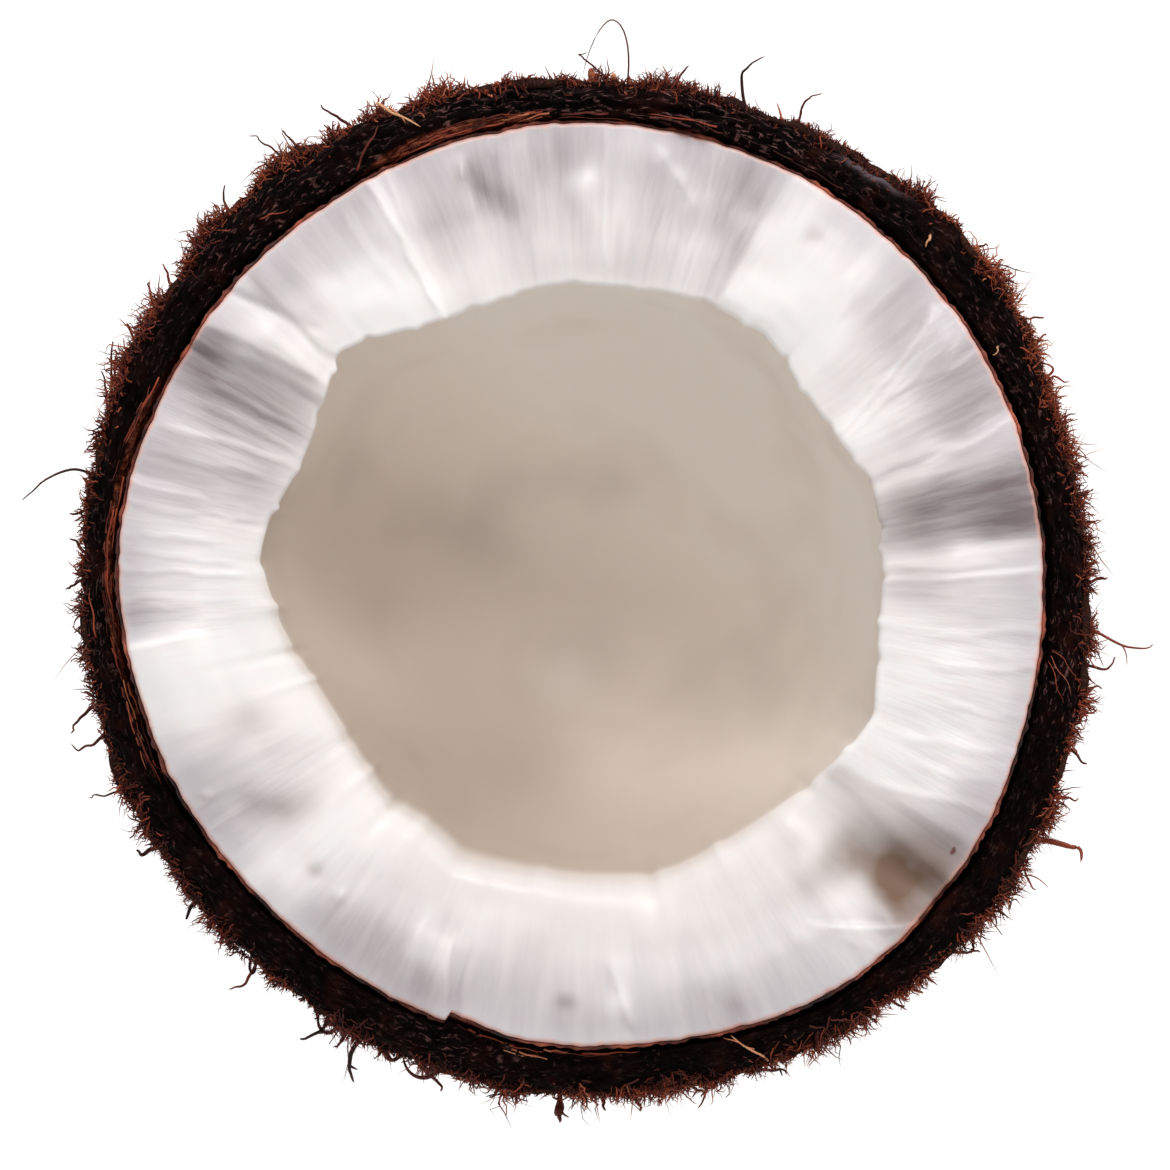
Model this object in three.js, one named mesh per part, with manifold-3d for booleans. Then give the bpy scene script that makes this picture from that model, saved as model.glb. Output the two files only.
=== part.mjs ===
// Half of a mature coconut, cracked open round its middle and standing cut side up.
// Layers from the outside in: matted husk fibres with loose ones standing out of them,
// woody shell, brown skin, and white flesh with an open hollow.
// Millimetres, +Z up. The origin is the middle of the flat foot that the half rests on.
// Angles are in degrees, anticlockwise from +X, seen from above.
import * as THREE from "three";
import { mergeVertices } from "three/addons/utils/BufferGeometryUtils.js";
import Module from "manifold-3d";

// Overall size
const shellRadius = 50.2; // outside of the woody shell at the crack
const crackHeight = 54; // foot to the mean plane of the crack
const footRadius = 10; // worn flat spot between the three eyes

// Walls, and the clearance between one layer and the next
const shellWall = 3.25; // woody shell at the crack
const shellFootWall = 4.2; // woody shell over the foot
const skinWall = 0.35; // brown skin
const fleshWall = 16; // flesh at the crack
const fleshFootWall = 13.15; // flesh over the foot
const matWall = 0.7; // matted fibres that stay on the shell
const layerGap = 0.2;

// Where the crack runs through each layer, above or below its mean plane
const fleshRise = 0.7; // the flesh breaks a little above the shell
const shellRimFall = 0.9; // the shell's broken edge slopes down towards the outside
const matDrop = 1.3; // the mat stops below the shell's edge
const matFray = 0.4; // depth of the waves in the mat's top edge
const matEyeMargin = 1.7; // from the eyes to the edge of the bare round patch in the mat
const stepHalfAngle = 0.35; // half the width of a step in the broken flesh

// Three seams run down the shell and meet at the eyes
const seamHeight = 0.9;
const seamHalfAngle = 9;
const seamAngles = [78, 198, 318];
const eyeOffset = 60; // an eye sits between each two seams
const eyeRadii = [3.8, 3.1, 3.1]; // one eye is the soft one, and is larger
const eyeDepth = 1.2;
const eyeFootMargin = 1.7; // from the foot's edge to the largest eye

// Loose fibres
const fibreSides = 5;
const fibreSteps = 8;
const fibreRoot = 0.4; // how deep a fibre starts in the mat

// Departures from a true round at the crack, as [angle, millimetres outwards]
const shellLumps = [
  [0, -0.3], [15, -0.7], [40, 0.8], [62, 0], [90, -0.4], [127, 1], [150, 0], [170, -0.5],
  [190, -0.7], [215, -1], [240, -0.7], [268, 0.2], [295, 0.5], [320, 1.4], [342, 0.8],
];
const kernelLumps = [
  [0, 0], [40, 0.1], [90, 0.3], [125, -0.2], [150, 0], [175, 0.6], [198, -0.5],
  [225, -1.1], [250, -0.5], [275, 0.2], [303, 1.7], [325, 1.2], [345, 0.2],
];
// The hollow's edge is scalloped: [angle of a corner, millimetres outwards, how far the
// scallop after it bulges inwards]
const scallops = [
  [20, 0.4, 1.5], [53, 0.3, 0.7], [100, -0.1, 2.1], [136, 3.9, 2.7], [171, 2.7, 0],
  [189, 0.2, 1.6], [228, -1.4, 1], [245, -1.3, 0.8], [285, -0.1, 1.5], [335, 1.9, 0.6],
  [355, -0.3, 0.2],
];
// Rise and fall of the whole crack, and of the shell's edge beside it
const crackWave = [
  [10, 0.5], [60, -0.4], [105, 0.3], [150, 0.9], [200, 0.2], [240, -0.6], [290, 0.1],
  [330, 0.6],
];
const shellChips = [
  [8, 0.2], [26, -0.5], [44, 0.1], [75, 0.4], [92, -0.3], [118, 0.2], [140, -0.4],
  [163, -0.7], [186, -0.2], [206, 0.3], [236, 0.1], [251, 0.2], [258, -0.6], [288, 0],
  [312, 0.4], [334, -0.4],
];
// The flesh breaks in plates: [angle of a plate's edge, height before it, height after it]
const plates = [
  [1.5, 0.3, 0], [6, -0.1, -0.1], [20, 1.3, 0.2], [30, 0.9, 0.4], [35, 0.2, -0.3],
  [44, 0.2, 0.2], [64, -0.6, -1], [84, -0.8, -0.8], [104, -1.4, -1.4], [109, -0.8, -0.8],
  [116.5, -0.9, 0.3], [137, 0.6, 0], [141, 0.6, 0.6], [145, 0.1, -0.7], [152, -1.2, -1.2],
  [167.5, -0.8, 0.1], [187.5, 0.8, 1.1], [204, 1.4, 1.4], [217, 0, 0], [226, 0.5, 0.5],
  [252.5, -0.2, 0.2], [276, 0, 0], [312, 0.7, -0.8], [317, -1.9, -1.9], [321.5, -1.2, 0],
  [341, 0.4, 0.4],
];
// Across the flesh from the outer edge, 1, to the hollow, 0: [place, height, how much of
// the plates' height shows there]
const fleshSection = [
  [1, -0.2, 0.8], [0.85, 0.3, 1], [0.6, 0.4, 1], [0.35, 0, 0.9], [0.14, -1, 0.6],
  [0, -2.8, 0.3],
];

// Loose fibres: [angle, below the mat's edge, thickness, and the tip's distance outwards,
// anticlockwise and upwards, then how far the middle bows anticlockwise]
const fibres = [
  [0.5, 3, 0.4, 3, 0.6, 1, -0.5], [17, 4, 0.35, 2.6, 2, 1, 0.4],
  [23.5, 2, 0.3, 3, -0.6, 1.5, 0.5], [32, 3, 0.3, 2.8, -1.6, 1, -0.4],
  [64.5, 2, 0.3, 4.2, -0.4, 2, 1.3], [70.5, 2, 0.35, 5.8, 0.4, 2, 2.4],
  [79, 3, 0.3, 3.2, -0.8, 1, 0.8], [84.5, 2, 0.25, 3.7, 4.4, 3, 3],
  [89, 6, 0.9, 2, -0.2, 0.4, 0], [117, 3, 0.35, 4, 1.8, 1, -0.4],
  [125, 2, 0.25, 4.4, 1.4, 2, 0], [138, 4, 0.3, 2.6, -2.8, 1, -1],
  [148, 3, 0.35, 2.6, -2.4, 1, -0.6], [162, 2, 0.3, 2.4, -7.5, 1, -2],
  [163.5, 5, 0.3, 3, -6, 2, -2], [168, 3, 0.3, 7.2, 3.6, 2, -2.4],
  [176, 3, 0.4, 2.4, -1.2, 1, 0.6], [187, 4, 0.3, 2, -2, 1, 0],
  [194, 3, 0.4, 4, 2, 1.5, -0.6], [196.5, 2, 0.35, 4.2, 0.6, 2, 1.6],
  [203.5, 3, 0.25, 4.2, -0.6, 1, 0.8], [211.5, 3, 0.6, 2.9, -0.6, 1, 0.4],
  [219.3, 3, 0.5, 3, 0.8, 1, -0.4], [224, 4, 0.5, 2.5, 0.6, 0.5, -0.2],
  [228, 3, 0.4, 4.8, 0.4, 1, 1.8], [239, 3, 0.45, 4.5, -0.8, 1, 1],
  [244.5, 2, 0.55, 5.2, 0.9, 1, -1.5], [250, 3, 0.45, 2.8, 4, 1, 0.4],
  [267.5, 4, 1.1, 3.2, 0, 0.5, -0.1], [283, 4, 0.35, 3.6, -0.6, 1, 1.2],
  [288, 3, 0.4, 2.4, 4.2, 0.5, 0.6], [306, 3, 0.4, 2.5, 1, 1, 0.4],
  [315, 2, 0.4, 2.4, 2, 1, 0], [330, 3, 0.7, 5.8, 0.8, 1, 1.7],
  [336.5, 4, 0.35, 3.5, 0.2, 1, -0.5], [341, 3, 0.4, 3, -0.8, 1, 0.7],
  [351, 3, 0.35, 4, 0.8, 1, -0.5], [355.5, 2, 0.3, 7, -1.4, 2, -1.4],
];

// Sizes that follow from the ones above
const rad = THREE.MathUtils.degToRad;
const widestEye = Math.max(...eyeRadii);
const eyeDistance = footRadius + eyeFootMargin + widestEye; // from the middle of the foot
const matFootRadius = eyeDistance + widestEye + matEyeMargin;
const shellDepth = crackHeight / Math.sqrt(1 - (footRadius / shellRadius) ** 2);
const shellInside = { radius: shellRadius - shellWall, depth: crackHeight - shellFootWall };
const skinOutside = inset(shellInside, layerGap);
const skinInside = inset(skinOutside, skinWall);
const fleshOutside = inset(skinInside, layerGap);
const hollow = {
  radius: fleshOutside.radius - fleshWall,
  depth: fleshOutside.depth - fleshFootWall,
};
const wallRows = [0, 13, 26, 39, 52, 65, 77, 90]; // from the crack, 0, to the pole, 90
const hollowRows = [14, 30, 46, 62, 76, 90];
const plateKnots = plates.flatMap(([angle, before, after]) =>
  before === after
    ? [[angle, before]]
    : [[angle - stepHalfAngle, before], [angle + stepHalfAngle, after]],
);
const columns = columnAngles(plateKnots.map(([angle]) => angle), 6);

function inset(surface, distance) {
  return { radius: surface.radius - distance, depth: surface.depth - distance };
}

// Evenly spaced angles, with those near a knot moved out of its way, and the knots.
function columnAngles(knots, step) {
  const clear = (angle) => knots.every((knot) => Math.abs(knot - angle) > step / 3);
  const even = Array.from({ length: 360 / step }, (_, i) => i * step).filter(clear);
  const all = [...even, ...knots].sort((a, b) => a - b);
  return [...all, all[0] + 360];
}

// The row before an angle and the row after it, and the share of the way between them.
function neighbours(table, angle) {
  const at = THREE.MathUtils.euclideanModulo(angle - table[0][0], 360) + table[0][0];
  const last = table.findLastIndex((row) => row[0] <= at);
  const next = table[(last + 1) % table.length];
  const gap = next[0] + (last + 1 === table.length ? 360 : 0) - table[last][0];
  return [table[last], next, (at - table[last][0]) / gap];
}

// Values round the nut, easing from one row of a table to the next, or running straight.
function eased(table, angle) {
  const [from, to, share] = neighbours(table, angle);
  return THREE.MathUtils.lerp(from[1], to[1], THREE.MathUtils.smoothstep(share, 0, 1));
}

function straight(table, angle) {
  const [from, to, share] = neighbours(table, angle);
  return THREE.MathUtils.lerp(from[1], to[1], share);
}

function scallop(angle) {
  const [from, to, share] = neighbours(scallops, angle);
  return THREE.MathUtils.lerp(from[1], to[1], share) - from[2] * 4 * share * (1 - share);
}

function seam(angle, phi) {
  const away = seamAngles.map((at) => Math.abs(((angle - at + 540) % 360) - 180));
  return seamHeight * Math.exp(-((Math.min(...away) / seamHalfAngle) ** 2)) * Math.sin(phi) ** 2;
}

// A point of a bowl's wall, as [distance from the axis, height]: phi runs from 0 at the
// crack to 90 at the pole, and the lumps fade away towards the pole.
function wallPoint({ radius, depth }, lump, phiDegrees) {
  const phi = rad(phiDegrees);
  return [
    phiDegrees === 90 ? 0 : (radius + lump * Math.cos(phi)) * Math.cos(phi),
    crackHeight - depth * Math.sin(phi),
  ];
}

// The same for the outside of the shell, or of a layer that lies proud of it.
function outsidePoint(proud, angle, phiDegrees) {
  const raised = proud + seam(angle, rad(phiDegrees));
  const surface = { radius: shellRadius + raised, depth: shellDepth + raised };
  return wallPoint(surface, eased(shellLumps, angle), phiDegrees);
}

const crackAt = (angle) => crackHeight + eased(crackWave, angle);

// Height of the broken flesh at a row of fleshSection.
function fleshHeight([, height, plateShare], angle) {
  return crackAt(angle) + fleshRise + height + plateShare * straight(plateKnots, angle);
}

// A bowl turned about +Z from a section that changes with the angle: each of the lathe's
// columns takes the points of its own section.
function turned(sectionAt) {
  const sections = columns.map(sectionAt);
  const outline = sections[0].map(([r, z]) => new THREE.Vector2(r, z));
  const geometry = new THREE.LatheGeometry(outline, columns.length - 1);
  const position = geometry.getAttribute("position");
  sections.forEach((section, i) => {
    const turn = rad(columns[i] % 360);
    section.forEach(([r, z], j) =>
      position.setXYZ(i * section.length + j, r * Math.cos(turn), r * Math.sin(turn), z),
    );
  });
  return geometry;
}

function shellGeometry() {
  const footPhi = THREE.MathUtils.radToDeg(Math.asin(crackHeight / shellDepth));
  const outsideRows = [...wallRows.slice(1).filter((phi) => phi < footPhi - 4)].reverse();
  return turned((angle) => {
    const [outerRadius] = outsidePoint(0, angle, 0);
    const [innerRadius] = wallPoint(shellInside, eased(kernelLumps, angle), 0);
    const edge = crackAt(angle) + eased(shellChips, angle);
    const [footEdge] = outsidePoint(0, angle, footPhi);
    return [
      [0, 0],
      [footEdge, 0],
      ...outsideRows.map((phi) => outsidePoint(0, angle, phi)),
      [outerRadius, edge - shellRimFall],
      [THREE.MathUtils.lerp(innerRadius, outerRadius, 0.55), edge - shellRimFall / 4],
      [innerRadius, edge],
      ...wallRows.slice(1).map((phi) => wallPoint(shellInside, eased(kernelLumps, angle), phi)),
    ];
  });
}

function skinGeometry() {
  return turned((angle) => {
    const lump = eased(kernelLumps, angle);
    const edge = fleshHeight(fleshSection[0], angle);
    const rows = wallRows.slice(1);
    return [
      ...rows.map((phi) => wallPoint(skinOutside, lump, phi)).reverse(),
      [skinOutside.radius + lump, edge],
      [skinInside.radius + lump, edge],
      ...rows.map((phi) => wallPoint(skinInside, lump, phi)),
    ];
  });
}

function fleshGeometry() {
  return turned((angle) => {
    const lump = eased(kernelLumps, angle);
    const outer = fleshOutside.radius + lump;
    const inner = hollow.radius + scallop(angle);
    return [
      ...wallRows.slice(1).map((phi) => wallPoint(fleshOutside, lump, phi)).reverse(),
      ...fleshSection.map((row) => [
        THREE.MathUtils.lerp(inner, outer, row[0]),
        fleshHeight(row, angle),
      ]),
      ...hollowRows.map((phi) => wallPoint(hollow, scallop(angle), phi)),
    ];
  });
}

// Height of the mat's frayed top edge.
function matEdge(angle) {
  const fray = matFray * (Math.sin(rad(7 * angle)) + Math.sin(rad(13 * angle + 40)));
  return crackAt(angle) + eased(shellChips, angle) - shellRimFall - matDrop + fray;
}

// The mat is a ring, open at the top and at its foot.
function matGeometry() {
  const lowest = THREE.MathUtils.radToDeg(Math.acos(matFootRadius / shellRadius));
  const rows = [...wallRows.slice(1).filter((phi) => phi < lowest - 4), lowest];
  return turned((angle) => {
    const inside = (phi) => outsidePoint(layerGap, angle, phi);
    const outside = (phi) => outsidePoint(layerGap + matWall, angle, phi);
    const loop = [
      ...rows.map(outside).reverse(),
      [outside(0)[0], matEdge(angle)],
      [inside(0)[0], matEdge(angle)],
      ...rows.map(inside),
    ];
    return [...loop, loop[0]];
  });
}

// A bent fibre of one thickness, rooted in the mat.
function fibreGeometry([angle, below, thickness, out, along, up, bow]) {
  const turn = rad(angle);
  const outwards = new THREE.Vector3(Math.cos(turn), Math.sin(turn), 0);
  const onwards = new THREE.Vector3(-Math.sin(turn), Math.cos(turn), 0);
  const height = matEdge(angle) - below;
  const phi = THREE.MathUtils.radToDeg(Math.asin((crackHeight - height) / shellDepth));
  const [radius] = outsidePoint(layerGap + matWall - fibreRoot, angle, phi);
  const place = (outShare, alongBy, upShare) =>
    outwards
      .clone()
      .multiplyScalar(radius + out * outShare)
      .addScaledVector(onwards, alongBy)
      .setZ(height + up * upShare);
  const path = new THREE.CubicBezierCurve3(
    place(0, 0, 0),
    place(0.45, bow, 0.1),
    place(0.8, along + bow, 0.5),
    place(1, along, 1),
  );
  const section = new THREE.Shape(
    Array.from({ length: fibreSides }, (_, i) => {
      const at = (2 * Math.PI * i) / fibreSides;
      return new THREE.Vector2(Math.cos(at), Math.sin(at)).multiplyScalar(thickness / 2);
    }),
  );
  return new THREE.ExtrudeGeometry(section, { steps: fibreSteps, extrudePath: path });
}

// Booleans: three.js geometry to a solid and back.
const wasm = await Module();
wasm.setup();

function toSolid(geometry) {
  const bare = geometry.clone().deleteAttribute("normal").deleteAttribute("uv");
  const merged = mergeVertices(bare, 1e-3);
  return new wasm.Manifold(
    new wasm.Mesh({
      numProp: 3,
      vertProperties: new Float32Array(merged.attributes.position.array),
      triVerts: new Uint32Array(merged.index.array),
    }),
  );
}

function toGeometry(solid) {
  const { vertProperties, triVerts } = solid.getMesh();
  const geometry = new THREE.BufferGeometry();
  geometry.setAttribute("position", new THREE.BufferAttribute(vertProperties, 3));
  geometry.setIndex(new THREE.BufferAttribute(triVerts, 1));
  geometry.computeVertexNormals();
  return geometry;
}

// A ball that cuts an eye of this radius and eyeDepth into the outside of the shell.
function eyeCutter(angle, eyeRadius) {
  const ballRadius = (eyeRadius ** 2 + eyeDepth ** 2) / (2 * eyeDepth);
  const cosPhi = eyeDistance / shellRadius;
  const sinPhi = Math.sqrt(1 - cosPhi ** 2);
  const slope = new THREE.Vector2(cosPhi / shellRadius, sinPhi / shellDepth).normalize();
  const outwards = ballRadius - eyeDepth;
  const radius = eyeDistance + slope.x * outwards;
  const height = crackHeight - shellDepth * sinPhi - slope.y * outwards;
  const turn = rad(angle);
  const ball = new THREE.SphereGeometry(ballRadius, 24, 16);
  return ball.translate(radius * Math.cos(turn), radius * Math.sin(turn), height);
}

function shellWithEyes() {
  const cut = eyeRadii.reduce(
    (solid, eyeRadius, i) =>
      solid.subtract(toSolid(eyeCutter(seamAngles[i] + eyeOffset, eyeRadius))),
    toSolid(shellGeometry()),
  );
  return toGeometry(cut);
}

function matWithFibres() {
  const joined = fibres.reduce(
    (solid, fibre) => solid.add(toSolid(fibreGeometry(fibre))),
    toSolid(matGeometry()),
  );
  return toGeometry(joined);
}

const shellMaterial = new THREE.MeshStandardMaterial({ color: 0x2a140d, roughness: 0.7 });
const skinMaterial = new THREE.MeshStandardMaterial({ color: 0x8a3f26, roughness: 0.6 });
const fleshMaterial = new THREE.MeshStandardMaterial({ color: 0xf1ebe8, roughness: 0.5 });
const matMaterial = new THREE.MeshStandardMaterial({ color: 0x5a2c1c, roughness: 0.95 });

function addPiece(name, geometry, material) {
  const piece = new THREE.Mesh(geometry, material);
  piece.name = name;
  coconutHalf.add(piece);
}

const coconutHalf = new THREE.Group();
addPiece("shell", shellWithEyes(), shellMaterial);
addPiece("brown_skin", skinGeometry(), skinMaterial);
addPiece("flesh", fleshGeometry(), fleshMaterial);
addPiece("husk_fibres", matWithFibres(), matMaterial);

export default coconutHalf;
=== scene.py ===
import math

import bpy
import numpy as np
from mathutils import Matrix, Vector
from mathutils.bvhtree import BVHTree


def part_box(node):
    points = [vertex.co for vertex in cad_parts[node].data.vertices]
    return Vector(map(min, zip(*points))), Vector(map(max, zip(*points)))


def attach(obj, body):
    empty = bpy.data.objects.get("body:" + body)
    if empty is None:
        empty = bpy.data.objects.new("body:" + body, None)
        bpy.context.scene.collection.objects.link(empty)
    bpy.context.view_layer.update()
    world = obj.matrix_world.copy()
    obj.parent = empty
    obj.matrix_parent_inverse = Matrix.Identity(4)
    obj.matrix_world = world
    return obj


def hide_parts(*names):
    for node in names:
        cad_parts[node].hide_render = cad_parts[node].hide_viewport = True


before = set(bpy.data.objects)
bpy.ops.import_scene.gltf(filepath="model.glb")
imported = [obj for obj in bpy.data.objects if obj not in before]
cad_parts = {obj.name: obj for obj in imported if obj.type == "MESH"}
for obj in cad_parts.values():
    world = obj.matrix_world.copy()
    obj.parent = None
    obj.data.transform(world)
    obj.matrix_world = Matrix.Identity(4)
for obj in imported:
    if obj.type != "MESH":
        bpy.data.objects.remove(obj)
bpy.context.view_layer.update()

# Half of a brown coconut, cracked open and standing cut side up. Shapes are worked out in
# millimetres round the nut's axis and turned into metres when a mesh is made. A turn is an
# angle in degrees, anticlockwise from +X seen from above. A slope is an angle down from the
# plane of the crack to the pole, as seen from the middle of the crack.
mm = 0.001

nut = {
    "columns": 900,  # points round every ring
    "soften": 0.8,  # degrees round the nut over which the frame's flat facets are smoothed
    "hollowSoften": 9,  # the same, for the deep part of the hollow
    "hollowFrom": (5, 30),  # the slope where that part starts, and degrees to come in
    "hollowPasses": 24,  # how often the hollow is evened out from slope to slope
    "edgeSoften": 0.18,  # degrees, for the heights of broken faces
    "edgeMargin": 0.03,  # share of a broken face kept clear of when its heights are read
    "middleDrop": 0.8,  # from the shell's highest point down to the middle of the crack
}
slopes = np.arange(4.0, 89.5, 1.0)
turns = np.arange(nut["columns"]) * 360.0 / nut["columns"]
around = np.stack([np.cos(np.radians(turns)), np.sin(np.radians(turns))])
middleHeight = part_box("shell")[1].z / mm - nut["middleDrop"]
farOut = 120.0  # clear of the whole nut
pastWall = 0.05  # the step from one surface of a wall towards the next


def softened(rows, degrees):
    # smooths each row round the nut, where the end joins the start
    waves = np.fft.fftfreq(rows.shape[-1], 360.0 / rows.shape[-1])
    keep = np.exp(-2 * (np.pi * waves * degrees) ** 2)
    return np.fft.ifft(np.fft.fft(rows, axis=-1) * keep, axis=-1).real


def grain(shape, across, along, seed):
    # smooth random relief with a spread of 1: across is its width in columns, along in rows,
    # and every use has a seed of its own
    field = np.fft.fft2(np.random.default_rng(seed).standard_normal(shape))
    u = np.fft.fftfreq(shape[0])[:, None] * along
    v = np.fft.fftfreq(shape[1])[None, :] * across
    out = np.fft.ifft2(field * np.exp(-2 * np.pi**2 * (u**2 + v**2) / 4)).real
    return out / out.std()


def easeIn(x):
    x = np.clip(x, 0, 1)
    return x * x * (3 - 2 * x)


def turnGap(a, b):
    # degrees from b to a, the short way round
    return (a - b + 180) % 360 - 180


def bumpsRound(places, turn=turns, power=2):
    # soft bumps round the nut, added up: each is a turn, degrees wide and a height, or 1
    return sum((height[0] if height else 1) * np.exp(-(turnGap(turn, at) / wide) ** power)
               for at, wide, *height in places)


def outwardsAt(slope, turn):
    # ways out from the middle of the crack, for arrays of slopes and turns
    flat = np.cos(np.radians(slope))
    return np.stack([flat * np.cos(np.radians(turn)), flat * np.sin(np.radians(turn)),
                     -np.sin(np.radians(slope))], -1)


def frameTree(node):
    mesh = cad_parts[node].data
    corners = [v.co.copy() for v in mesh.vertices]
    return BVHTree.FromPolygons(corners, [tuple(p.vertices) for p in mesh.polygons])


def castAlong(tree, start, way):
    hit = tree.ray_cast(Vector(start) * mm, Vector(way))[0]
    return None if hit is None else hit / mm


def wallReach(node, fromInside, wall=0):
    # how far a frame node's wall is from the middle of the crack, for every slope and turn,
    # looking out from the middle or back in from far out; wall=1 takes the second surface
    tree = frameTree(node)
    reach = np.zeros((len(slopes), len(turns)))
    middle = Vector((0, 0, middleHeight))
    for row, slope in enumerate(np.radians(slopes)):
        for column in range(len(turns)):
            flat = math.cos(slope)
            way = Vector((flat * around[0, column], flat * around[1, column], -math.sin(slope)))
            start = middle if fromInside else middle + way * farOut
            hit = castAlong(tree, start, way if fromInside else -way)
            for _ in range(wall):
                hit = castAlong(tree, hit + way * pastWall, way) if hit else None
            reach[row, column] = (hit - middle).length if hit else np.nan
    for column in np.flatnonzero(np.isnan(reach).any(0)):
        known = ~np.isnan(reach[:, column])
        reach[:, column] = np.interp(slopes, slopes[known], reach[known, column])
    return softened(reach, nut["soften"])


def reachAt(reach, slope):
    # reach at a slope for each column; above the first slope it stays the same
    place = np.clip((slope - slopes[0]) / (slopes[1] - slopes[0]), 0, len(slopes) - 1.001)
    low = place.astype(int)
    columns = np.arange(reach.shape[1])
    return reach[low, columns] + (place - low) * (reach[low + 1, columns] - reach[low, columns])


def wallRing(reach, slope, proud=0.0):
    # a ring of points on a wall, raised from it by proud
    slope = np.broadcast_to(slope, len(turns)).astype(float)
    away = reachAt(reach, slope) + proud
    flat = away * np.cos(np.radians(slope))
    return np.stack([flat * around[0], flat * around[1],
                     middleHeight - away * np.sin(np.radians(slope))], -1)


def levelRing(radius, height):
    radius = np.broadcast_to(radius, len(turns))
    return np.stack([radius * around[0], radius * around[1],
                     np.broadcast_to(height, len(turns))], -1)


def topHeights(node, inner, outer, shares):
    # heights of the frame's broken face, straight down between two outlines
    tree = frameTree(node)
    margin = nut["edgeMargin"]
    heights = np.zeros((len(shares), len(turns)))
    for row, share in enumerate(shares):
        radius = inner + (outer - inner) * np.clip(share, margin, 1 - margin)
        for column in range(len(turns)):
            start = (radius[column] * around[0, column], radius[column] * around[1, column], farOut)
            hit = castAlong(tree, start, (0, 0, -1))
            heights[row, column] = hit.z if hit else np.nan
    known = np.nanmean(heights, 1, keepdims=True)
    return softened(np.where(np.isnan(heights), known, heights), nut["edgeSoften"])


def setValues(mesh, values):
    for name, data in values.items():
        layer = mesh.attributes.new(name, "FLOAT", "POINT")
        layer.data.foreach_set("value", np.asarray(data, np.float32).ravel())


def addPiece(name, points, faces, values, material):
    mesh = bpy.data.meshes.new(name)
    mesh.from_pydata((points * mm).tolist(), [], faces)
    setValues(mesh, values)
    mesh.shade_smooth()
    mesh.materials.append(material)
    piece = bpy.data.objects.new(name, mesh)
    bpy.context.scene.collection.objects.link(piece)
    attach(piece, "root")
    print(f"{name}: {len(mesh.vertices)} points, {len(mesh.polygons)} faces")
    return piece


def ringFaces(low, high):
    # quads between two rings, given as the numbers of their points
    nextLow, nextHigh = np.roll(low, -1), np.roll(high, -1)
    return np.stack([low, nextLow, nextHigh, high], -1).tolist()


def addBowl(name, rings, values, material):
    # a closed bowl: its rings run from the pole outside, over the rim, to the pole inside
    count = len(turns)
    poles = [rings[0].mean(0), rings[-1].mean(0)]
    points = np.concatenate([np.concatenate(rings), poles])
    first = len(rings) * count
    faces = []
    for row in range(len(rings) - 1):
        low = np.arange(row * count, (row + 1) * count)
        faces += ringFaces(low, low + count)
    start, end = np.arange(count), np.arange(first - count, first)
    faces += [[first, int(b), int(a)] for a, b in zip(start, np.roll(start, -1))]
    faces += [[first + 1, int(a), int(b)] for a, b in zip(end, np.roll(end, -1))]
    full = {key: np.append(np.concatenate(rows), [np.mean(rows[0]), np.mean(rows[-1])])
            for key, rows in values.items()}
    return addPiece(name, points, faces, full, material)


def addRing(name, rings, values, material):
    # a closed band: its last ring joins its first
    count = len(turns)
    faces = []
    for row in range(len(rings)):
        low = np.arange(row * count, (row + 1) * count)
        faces += ringFaces(low, (low + count) % (len(rings) * count))
    full = {key: np.concatenate(rows) for key, rows in values.items()}
    return addPiece(name, np.concatenate(rings), faces, full, material)


# Nodes for the materials

def newMaterial(name, settings):
    material = bpy.data.materials.new(name)
    material.use_nodes = True
    shader = material.node_tree.nodes["Principled BSDF"]
    for socket, value in settings.items():
        shader.inputs[socket].default_value = value
    return material, material.node_tree, shader


def link(tree, a, b):
    tree.links.new(a, b)


def attribute(tree, name):
    node = tree.nodes.new("ShaderNodeAttribute")
    node.attribute_name = name
    return node.outputs["Fac"]


def math2(tree, kind, a, b=0.5, clamp=False):
    node = tree.nodes.new("ShaderNodeMath")
    node.operation = kind
    node.use_clamp = clamp
    for socket, value in zip(node.inputs, (a, b)):
        if isinstance(value, (int, float)):
            socket.default_value = value
        else:
            link(tree, value, socket)
    return node.outputs[0]


def ramp(tree, value, stops):
    node = tree.nodes.new("ShaderNodeValToRGB")
    link(tree, value, node.inputs[0])
    elements = node.color_ramp.elements
    while len(elements) < len(stops):
        elements.new(0.5)
    for element, (place, colour) in zip(elements, stops):
        element.position = place
        shade = colour if isinstance(colour, tuple) else (colour,) * 3
        element.color = (*shade, 1)
    return node.outputs["Color"]


def mixColour(tree, share, a, b, kind="MIX"):
    node = tree.nodes.new("ShaderNodeMix")
    node.data_type = "RGBA"
    node.blend_type = kind
    for socket, value in ((node.inputs[0], share), (node.inputs[6], a), (node.inputs[7], b)):
        if isinstance(value, tuple):
            socket.default_value = (*value, 1)
        elif isinstance(value, (int, float)):
            socket.default_value = value
        else:
            link(tree, value, socket)
    return node.outputs[2]


def place(tree):
    return tree.nodes.new("ShaderNodeTexCoord").outputs["Object"]


def vectorNode(tree, kind, a, socket=None, value=None):
    node = tree.nodes.new("ShaderNodeVectorMath")
    node.operation = kind
    link(tree, a, node.inputs[0])
    if socket is not None:
        node.inputs[socket].default_value = value
    return node


def parts(tree, vector):
    node = tree.nodes.new("ShaderNodeSeparateXYZ")
    link(tree, vector, node.inputs[0])
    return node.outputs


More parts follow.
